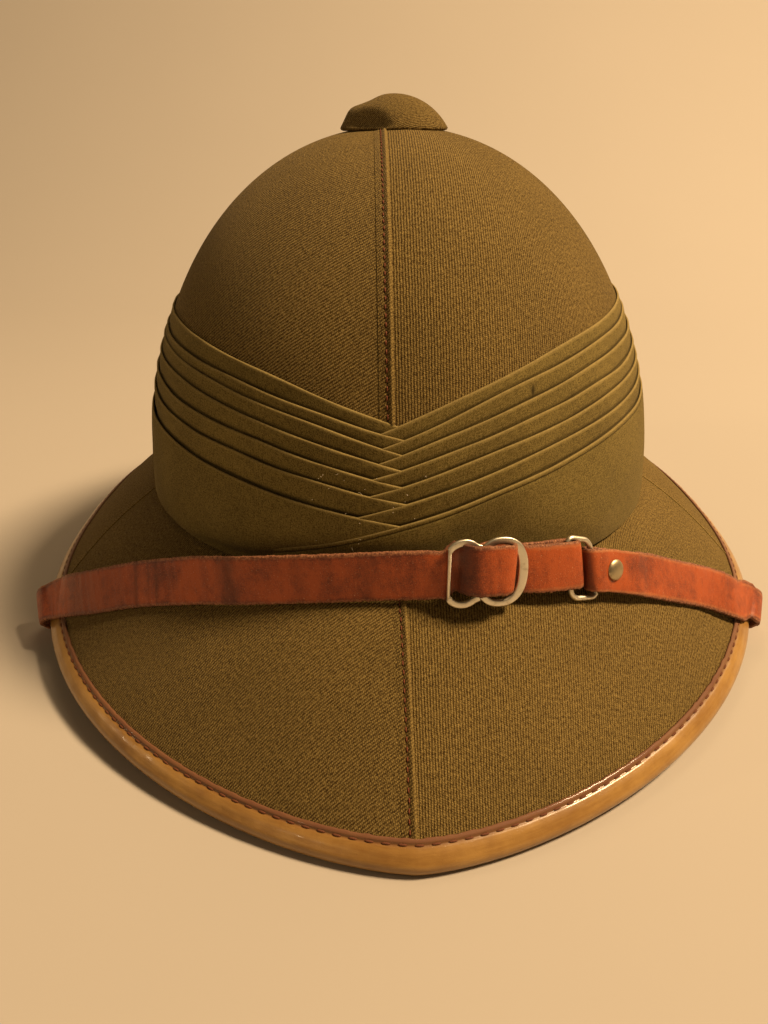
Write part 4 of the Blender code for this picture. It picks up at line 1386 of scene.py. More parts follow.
@dataclass
class Pugaree:
    """The folded band: on each side strips of cloth whose upper edges show, crossing turn by turn at the front.

    Every strip is a sheet that leans out a little towards its upper edge, where the cloth is folded back. At
    the front the left and right strips lie over each other in turn, and each dives under the one over it.
    """

    left_start: float = 1.0
    right_start: float = -5.5
    spread: float = 37.0
    tilt: float = 0.15
    dive: float = 0.28
    overlap: float = 0.13
    first: float = 1.38
    front_step: float = 0.27
    side_first: float = 1.70
    side_step: float = 0.11
    width: float = 9.0
    foot: float = 0.25
    foot_out: float = 2.45
    hem: float = 1.45
    least: tuple[float, float] = (0.75, 1.15)
    ends: tuple[float, float, float] = (12.5, -13.0, -24.0)
    columns: int = 300
    lint_count: int = 26
    lint_turn: tuple[float, float] = (-17.0, 4.0)
    lint_height: tuple[float, float] = (60.0, 88.0)
    lint_out: float = 3.15
    speck: tuple[float, float] = (0.25, 0.6)
    fibre: tuple[float, float] = (1.2, 2.0)

    def height(self, side: int, fold: int, angle: Array) -> Array:
        """Height of a fold's upper edge: it climbs with a hyperbolic tangent from the front to the sides.

        Args:
            side: -1 for the left strips, 1 for the right.
            fold: number of the fold from the top.
            angle: radians round the helmet.

        Returns:
            The heights.
        """
        row = FOLDS[fold]
        word = "left" if side < 0 else "right"
        start = self.left_start if side < 0 else self.right_start
        turn = side * (np.degrees(angle) - start)
        front, far = row[word + "_front"], row[word + "_side"]
        rise = (far - front) * np.tanh(turn / self.spread)
        behind = np.clip((np.abs(np.degrees(angle)) - 70) / 80, 0, 1)
        behind = eased(behind)
        wave = 0.28 * wobble(np.degrees(angle), 31.0, 40 + fold + 10 * side)
        return front + rise + (row["rear"] - far) * behind + wave * (1 - behind)

    def proud(self, side: int, fold: int, angle: Array) -> Array:
        """How far a fold's upper edge stands off the dome: in even steps, the left and right sets in turn.

        Args:
            side: -1 for the left strips, 1 for the right.
            fold: number of the fold from the top.
            angle: radians round the helmet.

        Returns:
            The distances; near the front, a bell curve leads over to the steps that hold there.
        """
        ahead = np.exp(-((np.degrees(angle) / 24) ** 2))
        front = self.first + self.front_step * fold + side * self.overlap / 2
        return front * ahead + (self.side_first + self.side_step * fold) * (1 - ahead)

    def cover(self, side: int, fold: int) -> tuple[int, int] | None:
        """The side and the number of the strip that lies over this one where they cross, if any does."""
        if side < 0:
            return (1, fold)
        return (-1, fold + 1) if fold + 1 < len(FOLDS) else None

    def strip(self, side: int, fold: int) -> Sheet:
        """One strip of the band.

        Args:
            side: -1 for left, 1 for right.
            fold: number from the top; the last one is the wide plain part.

        Returns:
            The sheet, from the fold's inner side over its edge and down.
        """
        last = fold == len(FOLDS) - 1
        far = self.ends[0 if side < 0 else 1 + last]
        share = np.linspace(0, 1, self.columns) ** 1.25
        angle = np.radians(far + (side * 180 - far) * share)[None]
        edge = self.height(side, fold, angle)
        room = edge - (FORM.base_height(angle) + self.foot)
        down, sink = self.depths(last, room)
        height = edge - down
        out = self.proud(side, fold, angle) + sink
        if last:
            out = self.plain_out(side, angle, down, sink, room, out)
        else:
            out = out - self.tilt * np.clip(down - LIP["down"][-1], 0, None)
            out = out + 0.10 * wobble(np.degrees(angle) * 1.7 + down * 4, 19.0, 60 + fold) * (sink == 0)
        over = self.cover(side, fold)
        if over is not None:
            out = out - self.dive * np.clip(self.height(*over, angle) - height - 0.05, 0, 7.0)
        if last and side < 0:
            out = out - 0.30 * np.clip(self.height(1, fold, angle) - height - 0.1, 0, 3.5)
        out = np.maximum(out, self.least[last])
        height = np.maximum(height, FORM.base_height(angle) + self.foot * 0.9)
        angles = np.broadcast_to(angle, height.shape)
        points = FORM.wall_at(angles, height, out)
        along = np.broadcast_to(run_along(points[8:9], 1) * side, height.shape)
        sheet = Sheet(points, np.stack([along, down], axis=-1), inside=(0.0, 0.0, 70.0))
        # rubbed wear and a painted highlight along each fold's upper edge
        sheet.marks["edge"] = bell(down, 0.15, 0.30) * (sink > -0.5)
        if last:
            # painted shade in the wide strip's sewn hem line
            sheet.marks["groove"] = bell(down, self.hem, 0.18) * (side > 0)
        else:
            # painted shadow on this strip just above where the next fold's edge lies
            sheet.marks["groove"] = bell(height - self.height(side, fold + 1, angle), 0.1, 0.50) * (down > 0.3)
        if side > 0 and fold == 1:
            sheet.marks["stain"] = bell(np.degrees(angles), 24.2, 0.45) * bell(down, 3.3, 1.5)
        return sheet

    def depths(self, last: bool, room: Array) -> tuple[Array, Array]:
        """Where the rows of a strip lie.

        Args:
            last: whether it is the wide plain strip.
            room: distance from its upper edge to the band's foot, at each angle.

        Returns:
            Distances below the upper edge, of shape (row, angle), and how far each row sinks behind the edge.
        """
        if last:
            below = np.linspace(0, 1, 30)[1:, None] ** 1.1
            down = np.concatenate([HEM[:, None] * np.ones_like(room), HEM[-1] + below * (room - HEM[-1])])
        else:
            down = np.linspace(LIP["down"][-1], self.width, 14)[1:, None] * np.ones_like(room)
        sink = np.concatenate([LIP["sink"], np.zeros(len(down))])[:, None]
        return np.concatenate([np.broadcast_to(LIP["down"][:, None], (len(LIP), room.size)), down]), sink

    def plain_out(self, side: int, angle: Array, down: Array, sink: Array, room: Array, out: Array) -> Array:
        """How far the wide plain strip stands off the dome.

        Args:
            side: -1 for left, 1 for right.
            angle: radians round the helmet.
            down: distances below its upper edge.
            sink: how far each row sinks behind the edge.
            room: distance from the upper edge to the band's foot.
            out: stand-off that its upper edge gives.

        Returns:
            The edge's stand-off led over to the foot's, with a belly and hollows between and a sewn hem.
        """
        part = np.clip(down / np.maximum(room, TINY), 0, 1)
        foot = self.foot_out + 0.12 * round_wobble(angle, 9, 31)
        belly = 0.35 * np.sin(np.pi * part) * round_wobble(angle, 4, 33)
        belly = belly + 0.12 * wobble(down + angle * 70, 13.0, 6)
        turn = np.degrees(angle)
        belly = belly + sum(row["out"] * bell(turn, row["angle"], row["width"]) for row in HOLLOWS) * part
        out = out * (1 - part) + foot * part + np.where(sink < 0, 0.0, belly) * part * (1 - part) * 4
        return out - 0.28 * bell(down, self.hem, 0.16) * (side > 0)

    def lint(self) -> list[Sheet]:
        """A few pale threads and specks caught in the folds near the crossing.

        Returns:
            One sheet for each, bent and turned at random.
        """
        random = np.random.default_rng(12)
        sheets = []
        for k in range(self.lint_count):
            angle = np.radians(random.uniform(*self.lint_turn))
            height = random.uniform(*self.lint_height)
            size = random.uniform(*(self.speck if k % 5 else self.fibre))
            share = np.linspace(0, 1, 6)
            bend = random.uniform(-1, 1, 3)
            turn = angle + np.radians(share * size * bend[0] * 0.55)
            rise = height + share * size * bend[1] + np.sin(share * np.pi) * size * 0.3 * bend[2]
            path = FORM.wall_at(turn, rise, self.lint_out + 0.1 * random.uniform(0, 1))
            thick = (0.11 if size < 1 else 0.06) * np.array([0, 1, 1.1, 1, 0.9, 0])
            sheets.append(tube(path, thick, 5, False))
        return sheets

    def build(self) -> None:
        """Makes the band and the lint on it."""
        strips = [self.strip(side, fold) for fold in range(len(FOLDS)) for side in (-1, 1)]
        build_piece("pugaree_folds", strips, "band_cloth", Finish.BAND, replaces="pugaree", closed=False)
        build_piece("pugaree_lint", self.lint(), "band_cloth", Finish.LINT)


# The button's underside, from its middle out to its rim.
UNDERSIDE = table("radius height", [(0.0, 0.6), (9.0, 0.4), (17.0, -0.9), (18.3, -1.1), (19.1, -0.8)])
# The swell and the hollow of the button's left side, by the distance from its middle.
CAP_SWELL = table("radius width out", [(15.0, 2.4, 1.0), (8.5, 3.2, -0.5)])


@dataclass
class Button:
    """The cloth-covered button: a shallow cap over the dome's top, its cloth drawn flat at the left."""

    radius: float = 19.4
    height: float = 10.9
    lip: float = -0.2
    seat: float = 174.0
    shift: float = -0.6
    flat: tuple[float, float, float] = (-0.50, -0.78, 0.38)
    flat_at: float = 15.2
    flat_soft: float = 0.25

    def build(self) -> None:
        """Makes the button: a profile turned round the upright axis, fuller at the left, with a flat."""
        turn = np.linspace(0, 2 * np.pi, 121)
        rise = self.height - self.lip
        ball = (self.radius**2 + rise**2) / (2 * rise)
        climb = np.linspace(np.arcsin(self.radius / ball), 0, 34)
        radius = np.concatenate([UNDERSIDE["radius"], ball * np.sin(climb)])
        height = np.concatenate([UNDERSIDE["height"], self.height - ball * (1 - np.cos(climb))])
        points = stack(radius[:, None] * np.sin(turn), -radius[:, None] * np.cos(turn), height[:, None])
        upper = (height > 0.4)[:, None]
        swell = sum(row["out"] * bell(radius, row["radius"], row["width"]) for row in CAP_SWELL)[:, None]
        normal = unit(points - [0, 0, self.height - ball])
        points = points + normal * (swell * bell(turn, 1.5 * np.pi, 0.8) * upper)[..., None]
        flat = unit(np.array(self.flat))
        over = (points @ flat - self.flat_at) / self.flat_soft
        points = points - flat * (np.logaddexp(0, over) * self.flat_soft * upper)[..., None]
        points = points + [self.shift, 0, self.seat]
        cloth = Weave.SLANTED.turned(points[..., 0] * 1.1, points[..., 1] * 1.1 + points[..., 2])
        sheet = Sheet(points, cloth)
        build_piece("button_cover", [sheet], "drill_cloth", Finish.DRILL, replaces="crown_button")


# ---- chin strap

# The strap's lower border over the brim, from the left edge to the right one.
STRAP_ROUTE = table(
    "angle share rise lean",
    [(-68.4, 0.97, 3.0, 33.0), (-63.5, 0.81, 2.1, 25.0), (-52.1, 0.515, 1.3, 27.0),
     (-40.4, 0.325, 1.3, 20.0), (-30.4, 0.222, 1.3, 11.0), (-19.3, 0.142, 1.3, 6.0),
     (-6.1, 0.100, 1.8, 5.0), (5.3, 0.119, 3.2, 8.0), (17.7, 0.159, 3.7, 11.0), (33.1, 0.250, 3.85, 15.0),
     (44.4, 0.412, 3.0, 34.0), (56.0, 0.657, 2.0, 37.0), (62.3, 0.884, 3.5, 34.0),
     (64.7, 0.975, 3.5, 36.0)],
)
# Its fold round the brim's edge, turn by turn: how far each border lies out, up and ahead of the crossing.
STRAP_FOLD = table(
    "low_out low_up low_ahead high_out high_up high_ahead high_left",
    [(1.6, 4.4, -1.0, 2.2, 10.2, 4.7, 1.2), (4.1, 3.2, -0.5, 4.8, 7.6, 5.4, 2.3),
     (5.8, 0.9, 0.2, 7.0, 4.6, 6.0, 2.1), (5.3, -2.1, 0.9, 7.6, 1.2, 6.6, 0.9),
     (2.9, -4.7, 1.3, 6.2, -2.6, 7.0, 0.0), (-1.0, -5.5, 1.6, 2.4, -5.2, 7.4, 0.0)],
)
# The long piece's front layer, through the buckle to the ring.
SLIDE_PATH = table(
    "place out less",
    [(6.0, 0.1, 0.2), (9.3, 0.1, 0.8), (12.0, 0.1, 0.7), (13.6, 0.8, 0.6), (15.0, 2.4, 0.4),
     (16.5, 4.3, 0.3), (18.2, 5.3, 0.2), (21.2, 5.45, 0.1), (26.2, 5.35, 0.3), (28.2, 4.7, 0.7),
     (29.1, 3.0, 0.9), (29.9, 1.1, 1.0), (31.4, 0.2, 0.8), (33.6, 0.1, 1.0), (37.4, 0.6, 0.5),
     (43.0, 1.3, 0.3), (49.6, 1.8, 0.3)],
)
# Its back layer, from the ring to the middle bar and round it.
RETURN_PATH = table(
    "place out thick less",
    [(49.6, -2.5, 1.6, 0.3), (43.0, -2.5, 1.6, 0.4), (34.0, -2.4, 1.6, 0.8), (27.0, -2.4, 1.5, 1.0),
     (23.2, -2.2, 1.1, 2.0), (20.7, -1.5, 0.9, 2.8), (19.2, 0.0, 0.9, 2.8), (18.9, 1.9, 0.9, 2.8),
     (19.5, 3.25, 0.9, 2.8), (20.7, 3.72, 0.9, 2.8), (21.9, 3.25, 0.9, 2.8), (22.5, 1.9, 0.9, 2.8),
     (23.0, 0.6, 0.9, 2.4), (24.2, -0.45, 0.9, 1.4), (25.8, -0.75, 0.9, 1.4), (27.9, -0.8, 0.9, 1.4)],
)
# The short piece's front and back layer.
TAB_FRONT = table(
    "place out",
    [(85.0, 0.3), (79.0, 1.2), (71.6, 1.3), (68.0, 1.3), (64.6, 1.4), (61.7, 1.8)],
)
TAB_BACK = table(
    "place out",
    [(62.1, -2.5), (63.6, -1.75), (65.0, -1.15), (68.4, -1.1), (72.0, -1.1), (77.5, -1.2)],
)
# Dark places along the strap: painted shade where it climbs from the buckle's left bar, dives behind the
# buckle's oval and folds round the ring, and darker patches elsewhere.
SHADE_AND_DARK_SPOTS = table(
    "place width depth",
    [(15.0, 3.0, 0.85), (31.6, 1.8, 0.85), (53.9, 0.8, 0.5), (57.2, 1.0, 0.7), (104.0, 34.0, 0.28),
     (-56.5, 3.6, 0.60), (-87.0, 0.7, 0.45), (-91.0, 0.5, 0.35), (-97.0, 1.2, 0.5), (-113.0, 14.0, 0.32),
     (-128.0, 9.0, 0.35), (-12.0, 3.0, 0.2), (-33.0, 2.0, 0.2)],
)
# How far the strap's layers lie above its line.
STRAP_RISE = table(
    "place rise",
    [(9.6, 0.0), (12.8, 2.5), (29.0, 2.5), (34.0, 0.9), (40.0, 0.9), (54.3, 1.4), (57.0, -0.9),
     (74.0, -0.9), (88.0, 0.0)],
)
# The buckle's left loop, from its straight bar to the middle bar.
BUCKLE_LEFT = table(
    "place half",
    [(10.1, 7.3), (10.9, 8.7), (12.3, 9.7), (14.0, 10.3), (15.9, 10.4), (17.7, 9.9), (19.3, 8.9),
     (20.7, 8.4)],
)


@dataclass
class Route:
    """The strap's line over the front of the brim."""

    width: float = 15.2
    thick: float = 1.6
    slack: float = 0.1
    skew: float = 0.27
    skew_at: tuple[float, float] = (57.0, 8.0)

    def __post_init__(self) -> None:
        """Works out the line's points, its upward direction and the place of each point."""
        angle, share, rise, lean = smooth_rows(columns(STRAP_ROUTE), 10).T
        low = FORM.brim_face(np.radians(angle), share, 1) + stack(0.0, 0.0, rise)
        lean = np.radians(lean)[:, None]
        along = directions(low)
        level = unit(along * [1, 1, 0])
        rearward = stack(-level[:, 1], level[:, 0], 0.0)
        self.upward = square_to(np.cos(lean) * [0, 0, 1] + np.sin(lean) * rearward, along)
        self.middle = low + self.upward * self.width / 2
        self.place = run_along(self.middle, 0)
        self.place -= np.interp(0.0, self.middle[:, 0], self.place)

    def read(self, values: Array, place: Array) -> Array:
        """The three coordinates of the line's values, read at places along it."""
        return np.stack([np.interp(place, self.place, values[:, k]) for k in range(3)], axis=-1)

    def at(self, place: Any) -> tuple[Array, Array, Array, Array]:
        """The strap's axes at places along it.

        Args:
            place: distances from the middle of the front.

        Returns:
            Its middle, its direction, its upward direction and its outward one.
        """
        place = np.asarray(place, float)
        along = unit(self.read(self.middle, place + 2) - self.read(self.middle, place - 2))
        upward = square_to(self.read(self.upward, place), along)
        return self.read(self.middle, place), along, upward, np.cross(along, upward)

    def rows(self, place: Array, out: Any = None, thick: Any = None, less: Any = 0.0) -> Array:
        """Strap rows off the strap's line.

        Args:
            place: distances from the middle of the front.
            out: distance outwards from the line.
            thick: thickness of the leather.
            less: how much narrower than its full width the strap is.

        Returns:
            Rows of its middle, its direction across, its thickness, its width and the place.
        """
        middle, along, upward, outward = self.at(place)
        out = self.slack if out is None else out
        thick = self.thick if thick is None else thick
        sizes = np.stack(np.broadcast_arrays(out, thick, self.width - less, place), axis=1)
        lift = np.interp(place, STRAP_RISE["place"], STRAP_RISE["rise"])[:, None]
        across = unit(upward - along * self.skew * bell(place, *self.skew_at)[:, None])
        return np.hstack([middle + outward * sizes[:, :1] + upward * lift, across, sizes[:, 1:]])


@dataclass
class StrapSizes:
    """Sizes that both pieces of the strap share."""

    crossing: tuple[float, float] = (-70.3, 66.6)
    fold_shift: float = 0.8
    under: tuple[float, ...] = (0.86, 0.66, 0.46, 0.28)
    under_clear: float = 3.2
    wall_heights: tuple[float, ...] = (39.5, 45.5, 52.0, 58.0, 64.0, 69.0)
    wall_clear: float = 0.8
    anchor_turn: float = 2.5
    loop: float = 2.15
    loop_left: float = 51.6
    loop_right: float = 59.4
    ring_out: float = -0.35
    tab_less: float = 1.8
    tab_full: tuple[float, float] = (74.0, 88.0)
    step: float = 0.6
    corner: tuple[float, float] = (0.28, 0.322)
    swell: float = 0.10
    # where across the strap the rubbed and highlighted borders lie, and how wide, and from which place on
    worn: tuple[float, float] = (6.3, 0.30)
    wear_and_highlight_start: float = 34.0


class Strap:
    """The two leather pieces of the chin strap."""

    def __init__(self, route: Route, sizes: StrapSizes) -> None:
        """Keeps the line and the sizes."""
        self.route = route
        self.sizes = sizes

    def fold_row(self, side: int, crossing: float, fold: Any) -> tuple[Array, Array]:
        """One turn of the strap's fold round the brim's edge, from where its two borders lie.

        Args:
            side: -1 for the left edge, 1 for the right.
            crossing: angle at which the strap crosses the edge, in degrees.
            fold: a row of the fold's table.

        Returns:
            The strap's middle and its direction across.
        """
        borders = []
        for border in ("low", "high"):
            angle = np.radians(crossing + side * fold[border + "_ahead"])
            along = FORM.brim_axes(angle, 1.0)[0]
            edge = FORM.edge_line(angle)
            outward = unit(np.array([along[1], -along[0], 0.0]))
            outward = outward * np.sign(outward @ edge)
            more = fold["high_left"] if border == "high" and side < 0 else 0.0
            borders.append(edge + outward * fold[border + "_out"] + [0, 0, fold[border + "_up"] + more])
        across = unit(borders[1] - borders[0])
        return borders[0] + across * self.route.width / 2, across

    def hidden_rows(self, place: float, side: int) -> Array:
        """The strap from a place on the brim's top, round the edge and under the brim, to its end in the dome.

        Args:
            place: the place it starts from.
            side: -1 for the left side, 1 for the right.

        Returns:
            Its rows, on a smooth curve.
        """
        sizes = self.sizes
        crossing = sizes.crossing[0 if side < 0 else 1]
        angle = np.radians(crossing + side * sizes.anchor_turn)
        shift = sizes.fold_shift if side > 0 else 0.0
        rows = [self.fold_row(side, crossing + shift, fold) for fold in STRAP_FOLD]
        for share in sizes.under:
            below = FORM.brim_face(angle, share, -1, sizes.under_clear)
            rows.append((below, side * FORM.brim_axes(angle, share)[0]))
        inward = -(FORM.wall + sizes.wall_clear + self.route.thick / 2)
        across = side * FORM.brim_axes(angle, 0.0)[0]
        rows += [(FORM.wall_at(angle, height, inward), across) for height in sizes.wall_heights]
        same = [self.route.thick, self.route.width, place + side * 40]
        flat = [np.hstack([middle, across, same]) for middle, across in rows]
        return smooth_rows(np.vstack([self.route.rows(np.array([place])), flat]), 6)[1:]

    def loop_rows(self, place: float, start: float, end: float, less: float) -> Array:
        """The half round that the strap makes round the ring.

        Args:
            place: the place of the half round's middle.
            start: its first angle, in degrees, from straight along the strap.
            end: its last angle.
            less: how much narrower than its full width the strap is.

        Returns:
            Its rows.
        """
        turn = np.radians(np.linspace(start, end, 25))
        places = place + self.sizes.loop * np.cos(turn)
        return self.route.rows(places, self.sizes.ring_out + self.sizes.loop * np.sin(turn), None, less)

    def long_rows(self) -> Array:
        """The long piece.

        Returns:
            Its rows, from inside the dome at the left to the buckle's middle bar.
        """
        front = np.arange(self.route.place[0], SLIDE_PATH["place"][0] - 3, 6.0)
        hidden = self.hidden_rows(front[0], -1)
        place, out, less = smooth_rows(columns(SLIDE_PATH), 6).T
        back = smooth_rows(columns(RETURN_PATH), 6)
        loop = self.loop_rows(self.sizes.loop_left, 90, -90, less[-1])
        slide = self.route.rows(place, out, less=less)
        shown = [self.route.rows(front), slide, loop, self.route.rows(*back.T)]
        return np.vstack([hidden[::-1], *shown])

    def tab_rows(self) -> Array:
        """The short piece.

        Returns:
            Its rows, from inside the dome at the right to its riveted end.
        """
        front = np.arange(self.route.place[-1], TAB_FRONT["place"][0] + 3, -6.0)
        hidden = self.hidden_rows(front[0], 1)
        less = self.sizes.tab_less
        over, back = smooth_rows(columns(TAB_FRONT), 6).T, smooth_rows(columns(TAB_BACK), 6).T
        ahead = self.route.rows(*over, less=np.interp(over[0], self.sizes.tab_full, (less, 0.0)))
        loop = self.loop_rows(self.sizes.loop_right, 90, 270, less)
        return np.vstack([hidden[::-1], self.route.rows(front), ahead, loop, self.route.rows(*back, less=less)])

    def leather(self, rows: Array, side: int, seed: int) -> Sheet:
        """A leather strip through the rows: a rounded rectangle, with a rough outline and creases.

        Args:
            rows: middle, direction across, thickness and width.
            side: 1 or -1, which way the grain side faces.
            seed: picks the pattern of the rough edges.

        Returns:
            The closed sheet.
        """
        rows = even_rows(rows, self.sizes.step)
        middle, across, thick, width = rows[:, :3], unit(rows[:, 3:6]), rows[:, 6:7], rows[:, 7:8]
        along = directions(middle)
        skew = np.sum(across * along, axis=1, keepdims=True)
        depth = unit(np.cross(along, across)) * side
        run = run_along(middle, 0)[:, None]
        turn = np.linspace(0, 2 * np.pi, 33)[None]
        across_share = squared(np.cos(turn), self.sizes.corner[0])
        depth_share = squared(np.sin(turn), self.sizes.corner[1])
        half = width / 2 / np.sqrt(np.clip(1 - skew**2, 0.8, 1))
        upper = wobbles(run, seed, (0.11, 5.0), (0.10, 1.5))
        lower = wobbles(run, seed + 2, (0.14, 4.0), (0.12, 1.4))
        border = np.where(across_share > 0, upper, lower)
        reach = across_share * (half + border * np.abs(across_share))
        crease = 0.05 * wobble(run + across_share * 1.5, 2.6, seed + 4) + 0.05 * wobble(run, 9.0, seed + 5)
        swell = self.sizes.swell * (1 - across_share**4)
        front = depth_share > 0
        height = depth_share * thick / 2 + np.where(front, crease + swell, 0.0) * np.abs(depth_share)
        ends = np.ones_like(run)
        ends[0] = ends[-1] = 0.0
        points = middle[:, None] + across[:, None] * (reach * ends)[..., None]
        points = points + depth[:, None] * (height * ends)[..., None]
        around = np.where(front, reach, np.sign(reach) * (2 * self.route.width - np.abs(reach)))
        flat = np.clip((np.abs(depth_share) - 0.80) / 0.12, 0, 1)
        place = rows[:, 8:9]
        worn, wear_and_highlight_start = self.sizes.worn, self.sizes.wear_and_highlight_start
        marks = {
            "cut": np.where(front, 1 - flat, 1.0),
            "rim": np.clip((np.abs(across_share) - 0.86) / 0.1, 0, 1) * front,
            # painted shade at the buckle and the ring, and darker patches
            "dark": sum(spot["depth"] * bell(place, spot["place"], spot["width"]) for spot in SHADE_AND_DARK_SPOTS),
            # rubbed wear and a painted highlight near both borders
            "worn": bell(np.abs(reach), *worn) * np.clip((place - wear_and_highlight_start) / 4, 0, 1) * front,
        }
        return Sheet(points, np.stack([np.broadcast_to(run, reach.shape), around], axis=-1), marks)

    def build(self) -> None:
        """Makes both pieces."""
        for name, rows, side, seed, node in (
            ("strap_long", self.long_rows(), 1, 70, "chin_strap"),
            ("strap_short", self.tab_rows(), -1, 90, "chin_strap_tab"),
        ):
            build_piece(name, [self.leather(rows, side, seed)], "strap_leather", Finish.STRAP, replaces=node)


def plane_axes(line: Array) -> tuple[Array, Array]:
    """Directions along a line in a plane, and those square to it, a quarter turn further."""
    tangent = directions(np.hstack([line, np.zeros((len(line), 1))]))[:, :2]
    return tangent, np.stack([-tangent[:, 1], tangent[:, 0]], axis=1)


# The rivet's flat end, its shank and the underside of its head.
RIVET_FOOT = table(
    "radius height", [(0.0, -3.0), (2.6, -3.0), (2.6, -2.2), (1.4, -2.2), (1.4, 2.1), (2.9, 2.13)]
)


@dataclass
class Fittings:
    """The slide buckle, the ring and the rivet."""

    route: Route
    bar: float = 20.7
    bar_half: float = 0.7
    bar_reach: float = 7.6
    set_back: float = 0.4
    corner: tuple[float, float] = (0.55, 0.6)
    out: float = 2.0
    sheet: float = 1.2
    rim: float = 2.1
    side: float = 1.7
    oval: tuple[float, float, float] = (26.5, 8.2, 10.6)
    oval_power: float = 2.3
    oval_end: float = 138.0
    swell: float = 0.4
    buckle_rise: float = 0.9
    buckle_turn: float = 1.3
    ring_middle: float = 55.2
    ring_rise: float = -0.5
    ring_half_width: float = 4.7
    ring_half_height: float = 9.3
    ring_corner: float = 2.5
    ring_taper: float = 0.09
    ring_droop: float = 0.13
    wire: float = 0.88
    ring_out: float = -0.35
    rivet: float = 67.2
    rivet_rise: float = -0.5
    head: float = 3.35
    dome: float = 1.1
    dome_foot: float = 2.37

    def strip(self, line: Array, half_width: Array | float, thick: float, frame: tuple[Array, ...]) -> Sheet:
        """A stamped rim along a line in the buckle's plane: a rounded rectangle, closed at its ends.

        Args:
            line: rows of distances along and up.
            half_width: half the rim's width at each row.
            thick: the sheet's thickness.
            frame: the plane's origin and its three directions.

        Returns:
            The sheet.
        """
        origin, along, upward, outward = frame
        _, normal = plane_axes(line)
        turn = np.linspace(0, 2 * np.pi, 25)
        across, depth = squared(np.cos(turn), self.corner[0]), squared(np.sin(turn), self.corner[1])
        half = np.broadcast_to(half_width, len(line))
        size = np.ones(len(line))
        size[0] = size[-1] = 0.0
        flat = line[:, None] + normal[:, None] * (half[:, None] * across * size[:, None])[..., None]
        lift = depth * thick / 2 * size[:, None]
        return laid_out(origin + along * flat[..., :1] + upward * flat[..., 1:] + outward * lift[..., None])

    def build_buckle(self) -> None:
        """The buckle: a left loop with a straight bar, a right oval loop and a middle bar."""
        centre, along, upward, outward = self.route.at(self.bar)
        turn = np.radians(self.buckle_turn)
        cosine, sine = np.cos(turn), np.sin(turn)
        along, upward = along * cosine + upward * sine, upward * cosine - along * sine
        origin = centre - along * (self.bar + self.set_back) + upward * self.buckle_rise + outward * self.out
        frame = (origin, along, upward, outward)
        outline = smooth_rows(columns(BUCKLE_LEFT), 8)
        outer = np.concatenate([outline[::-1], outline * [1, -1]])
        tangent, inward = plane_axes(outer)
        upright = np.clip(np.abs(tangent[:, 1]), 0, 1) ** 4
        half = self.rim / 2 * (1 - upright) + self.side / 2 * upright
        left = self.strip(outer + inward * half[:, None], half, self.sheet, frame)
        middle, half_width, half_height = self.oval
        turn = np.radians(np.linspace(self.oval_end, -self.oval_end, 90))
        power = 2 / self.oval_power
        x = squared(np.cos(turn), power) * (half_width - self.rim / 2) + middle
        y = squared(np.sin(turn), power) * (half_height - self.rim / 2)
        wide = self.rim / 2 * (1 + self.swell * np.clip(np.cos(turn), 0, 1) ** 2)
        oval = np.stack([x - (wide - self.rim / 2), y], axis=1)
        right = self.strip(oval, wide, self.sheet * 1.06, frame)
        bar = np.stack([np.full(9, self.bar), np.linspace(self.bar_reach, -self.bar_reach, 9)], axis=1)
        middle_bar = self.strip(bar, self.bar_half, self.sheet * 0.9, frame)
        build_piece("buckle", [left, right, middle_bar], "white_metal", Finish.METAL, replaces="slide_buckle")

    def build_ring(self) -> None:
        """The wire ring: an upright oval with straight sides, its wire a little flattened by use."""
        x, y = self.ring_half_width - self.ring_corner, self.ring_half_height - self.ring_corner
        turn = np.radians(np.linspace(0, 90, 13))
        arc = np.stack([np.cos(turn), np.sin(turn)], axis=1) * self.ring_corner
        quarter = arc + [x, y]
        top = np.concatenate([quarter, (quarter * [-1, 1])[::-1]])
        line = np.concatenate([top, (top * [1, -1])[::-1]])
        height = line[:, 1] / self.ring_half_height
        line[:, 0] *= 1 - self.ring_taper * height
        line[:, 1] -= self.ring_droop * line[:, 0] * np.clip(height, 0, 1)
        middle, along, upward, outward = self.route.at(self.ring_middle)
        middle = middle + outward * self.ring_out + upward * self.ring_rise
        upward = upward - along * self.route.skew
        path = middle + along * line[:, :1] + upward * line[:, 1:]
        wire = tube(path, np.full(len(line), self.wire), 16, True)
        build_piece("ring", [wire], "white_metal", Finish.METAL, replaces="strap_ring")

    def build_rivet(self) -> None:
        """The rivet: a domed head with a thin rim, a shank and a flat end, turned round its axis."""
        middle, along, upward, outward = self.route.at(self.rivet)
        middle = middle + upward * self.rivet_rise
        climb = np.radians(np.linspace(0, 90, 14))
        radius = np.concatenate([RIVET_FOOT["radius"], self.head * np.cos(climb) ** 0.8])
        height = np.concatenate([RIVET_FOOT["height"], self.dome_foot + self.dome * np.sin(climb) ** 1.2])
        turn = np.linspace(0, 2 * np.pi, 49)
        x = radius[:, None] * np.cos(turn)
        y = radius[:, None] * np.sin(turn)
        points = middle + along * x[..., None] + upward * y[..., None] + outward * height[:, None, None]
        sheet = Sheet(points, np.stack([x, y], axis=-1))
        build_piece("rivet", [sheet], "white_metal", Finish.RIVET, replaces="strap_rivet", sharp=50)


# ---- studio


LAMPS = {  # place in metres, side in metres and watts of each square lamp
    "key": ((1.38, -0.12, 1.90), 0.45, 101.0),
    "fill": ((-0.85, -1.05, 0.62), 0.10, 0.9),
    "rear": ((0.10, 0.75, 1.60), 0.60, 4.0),
    "glint": ((-1.25, -0.18, 0.52), 0.06, 1.2),
}


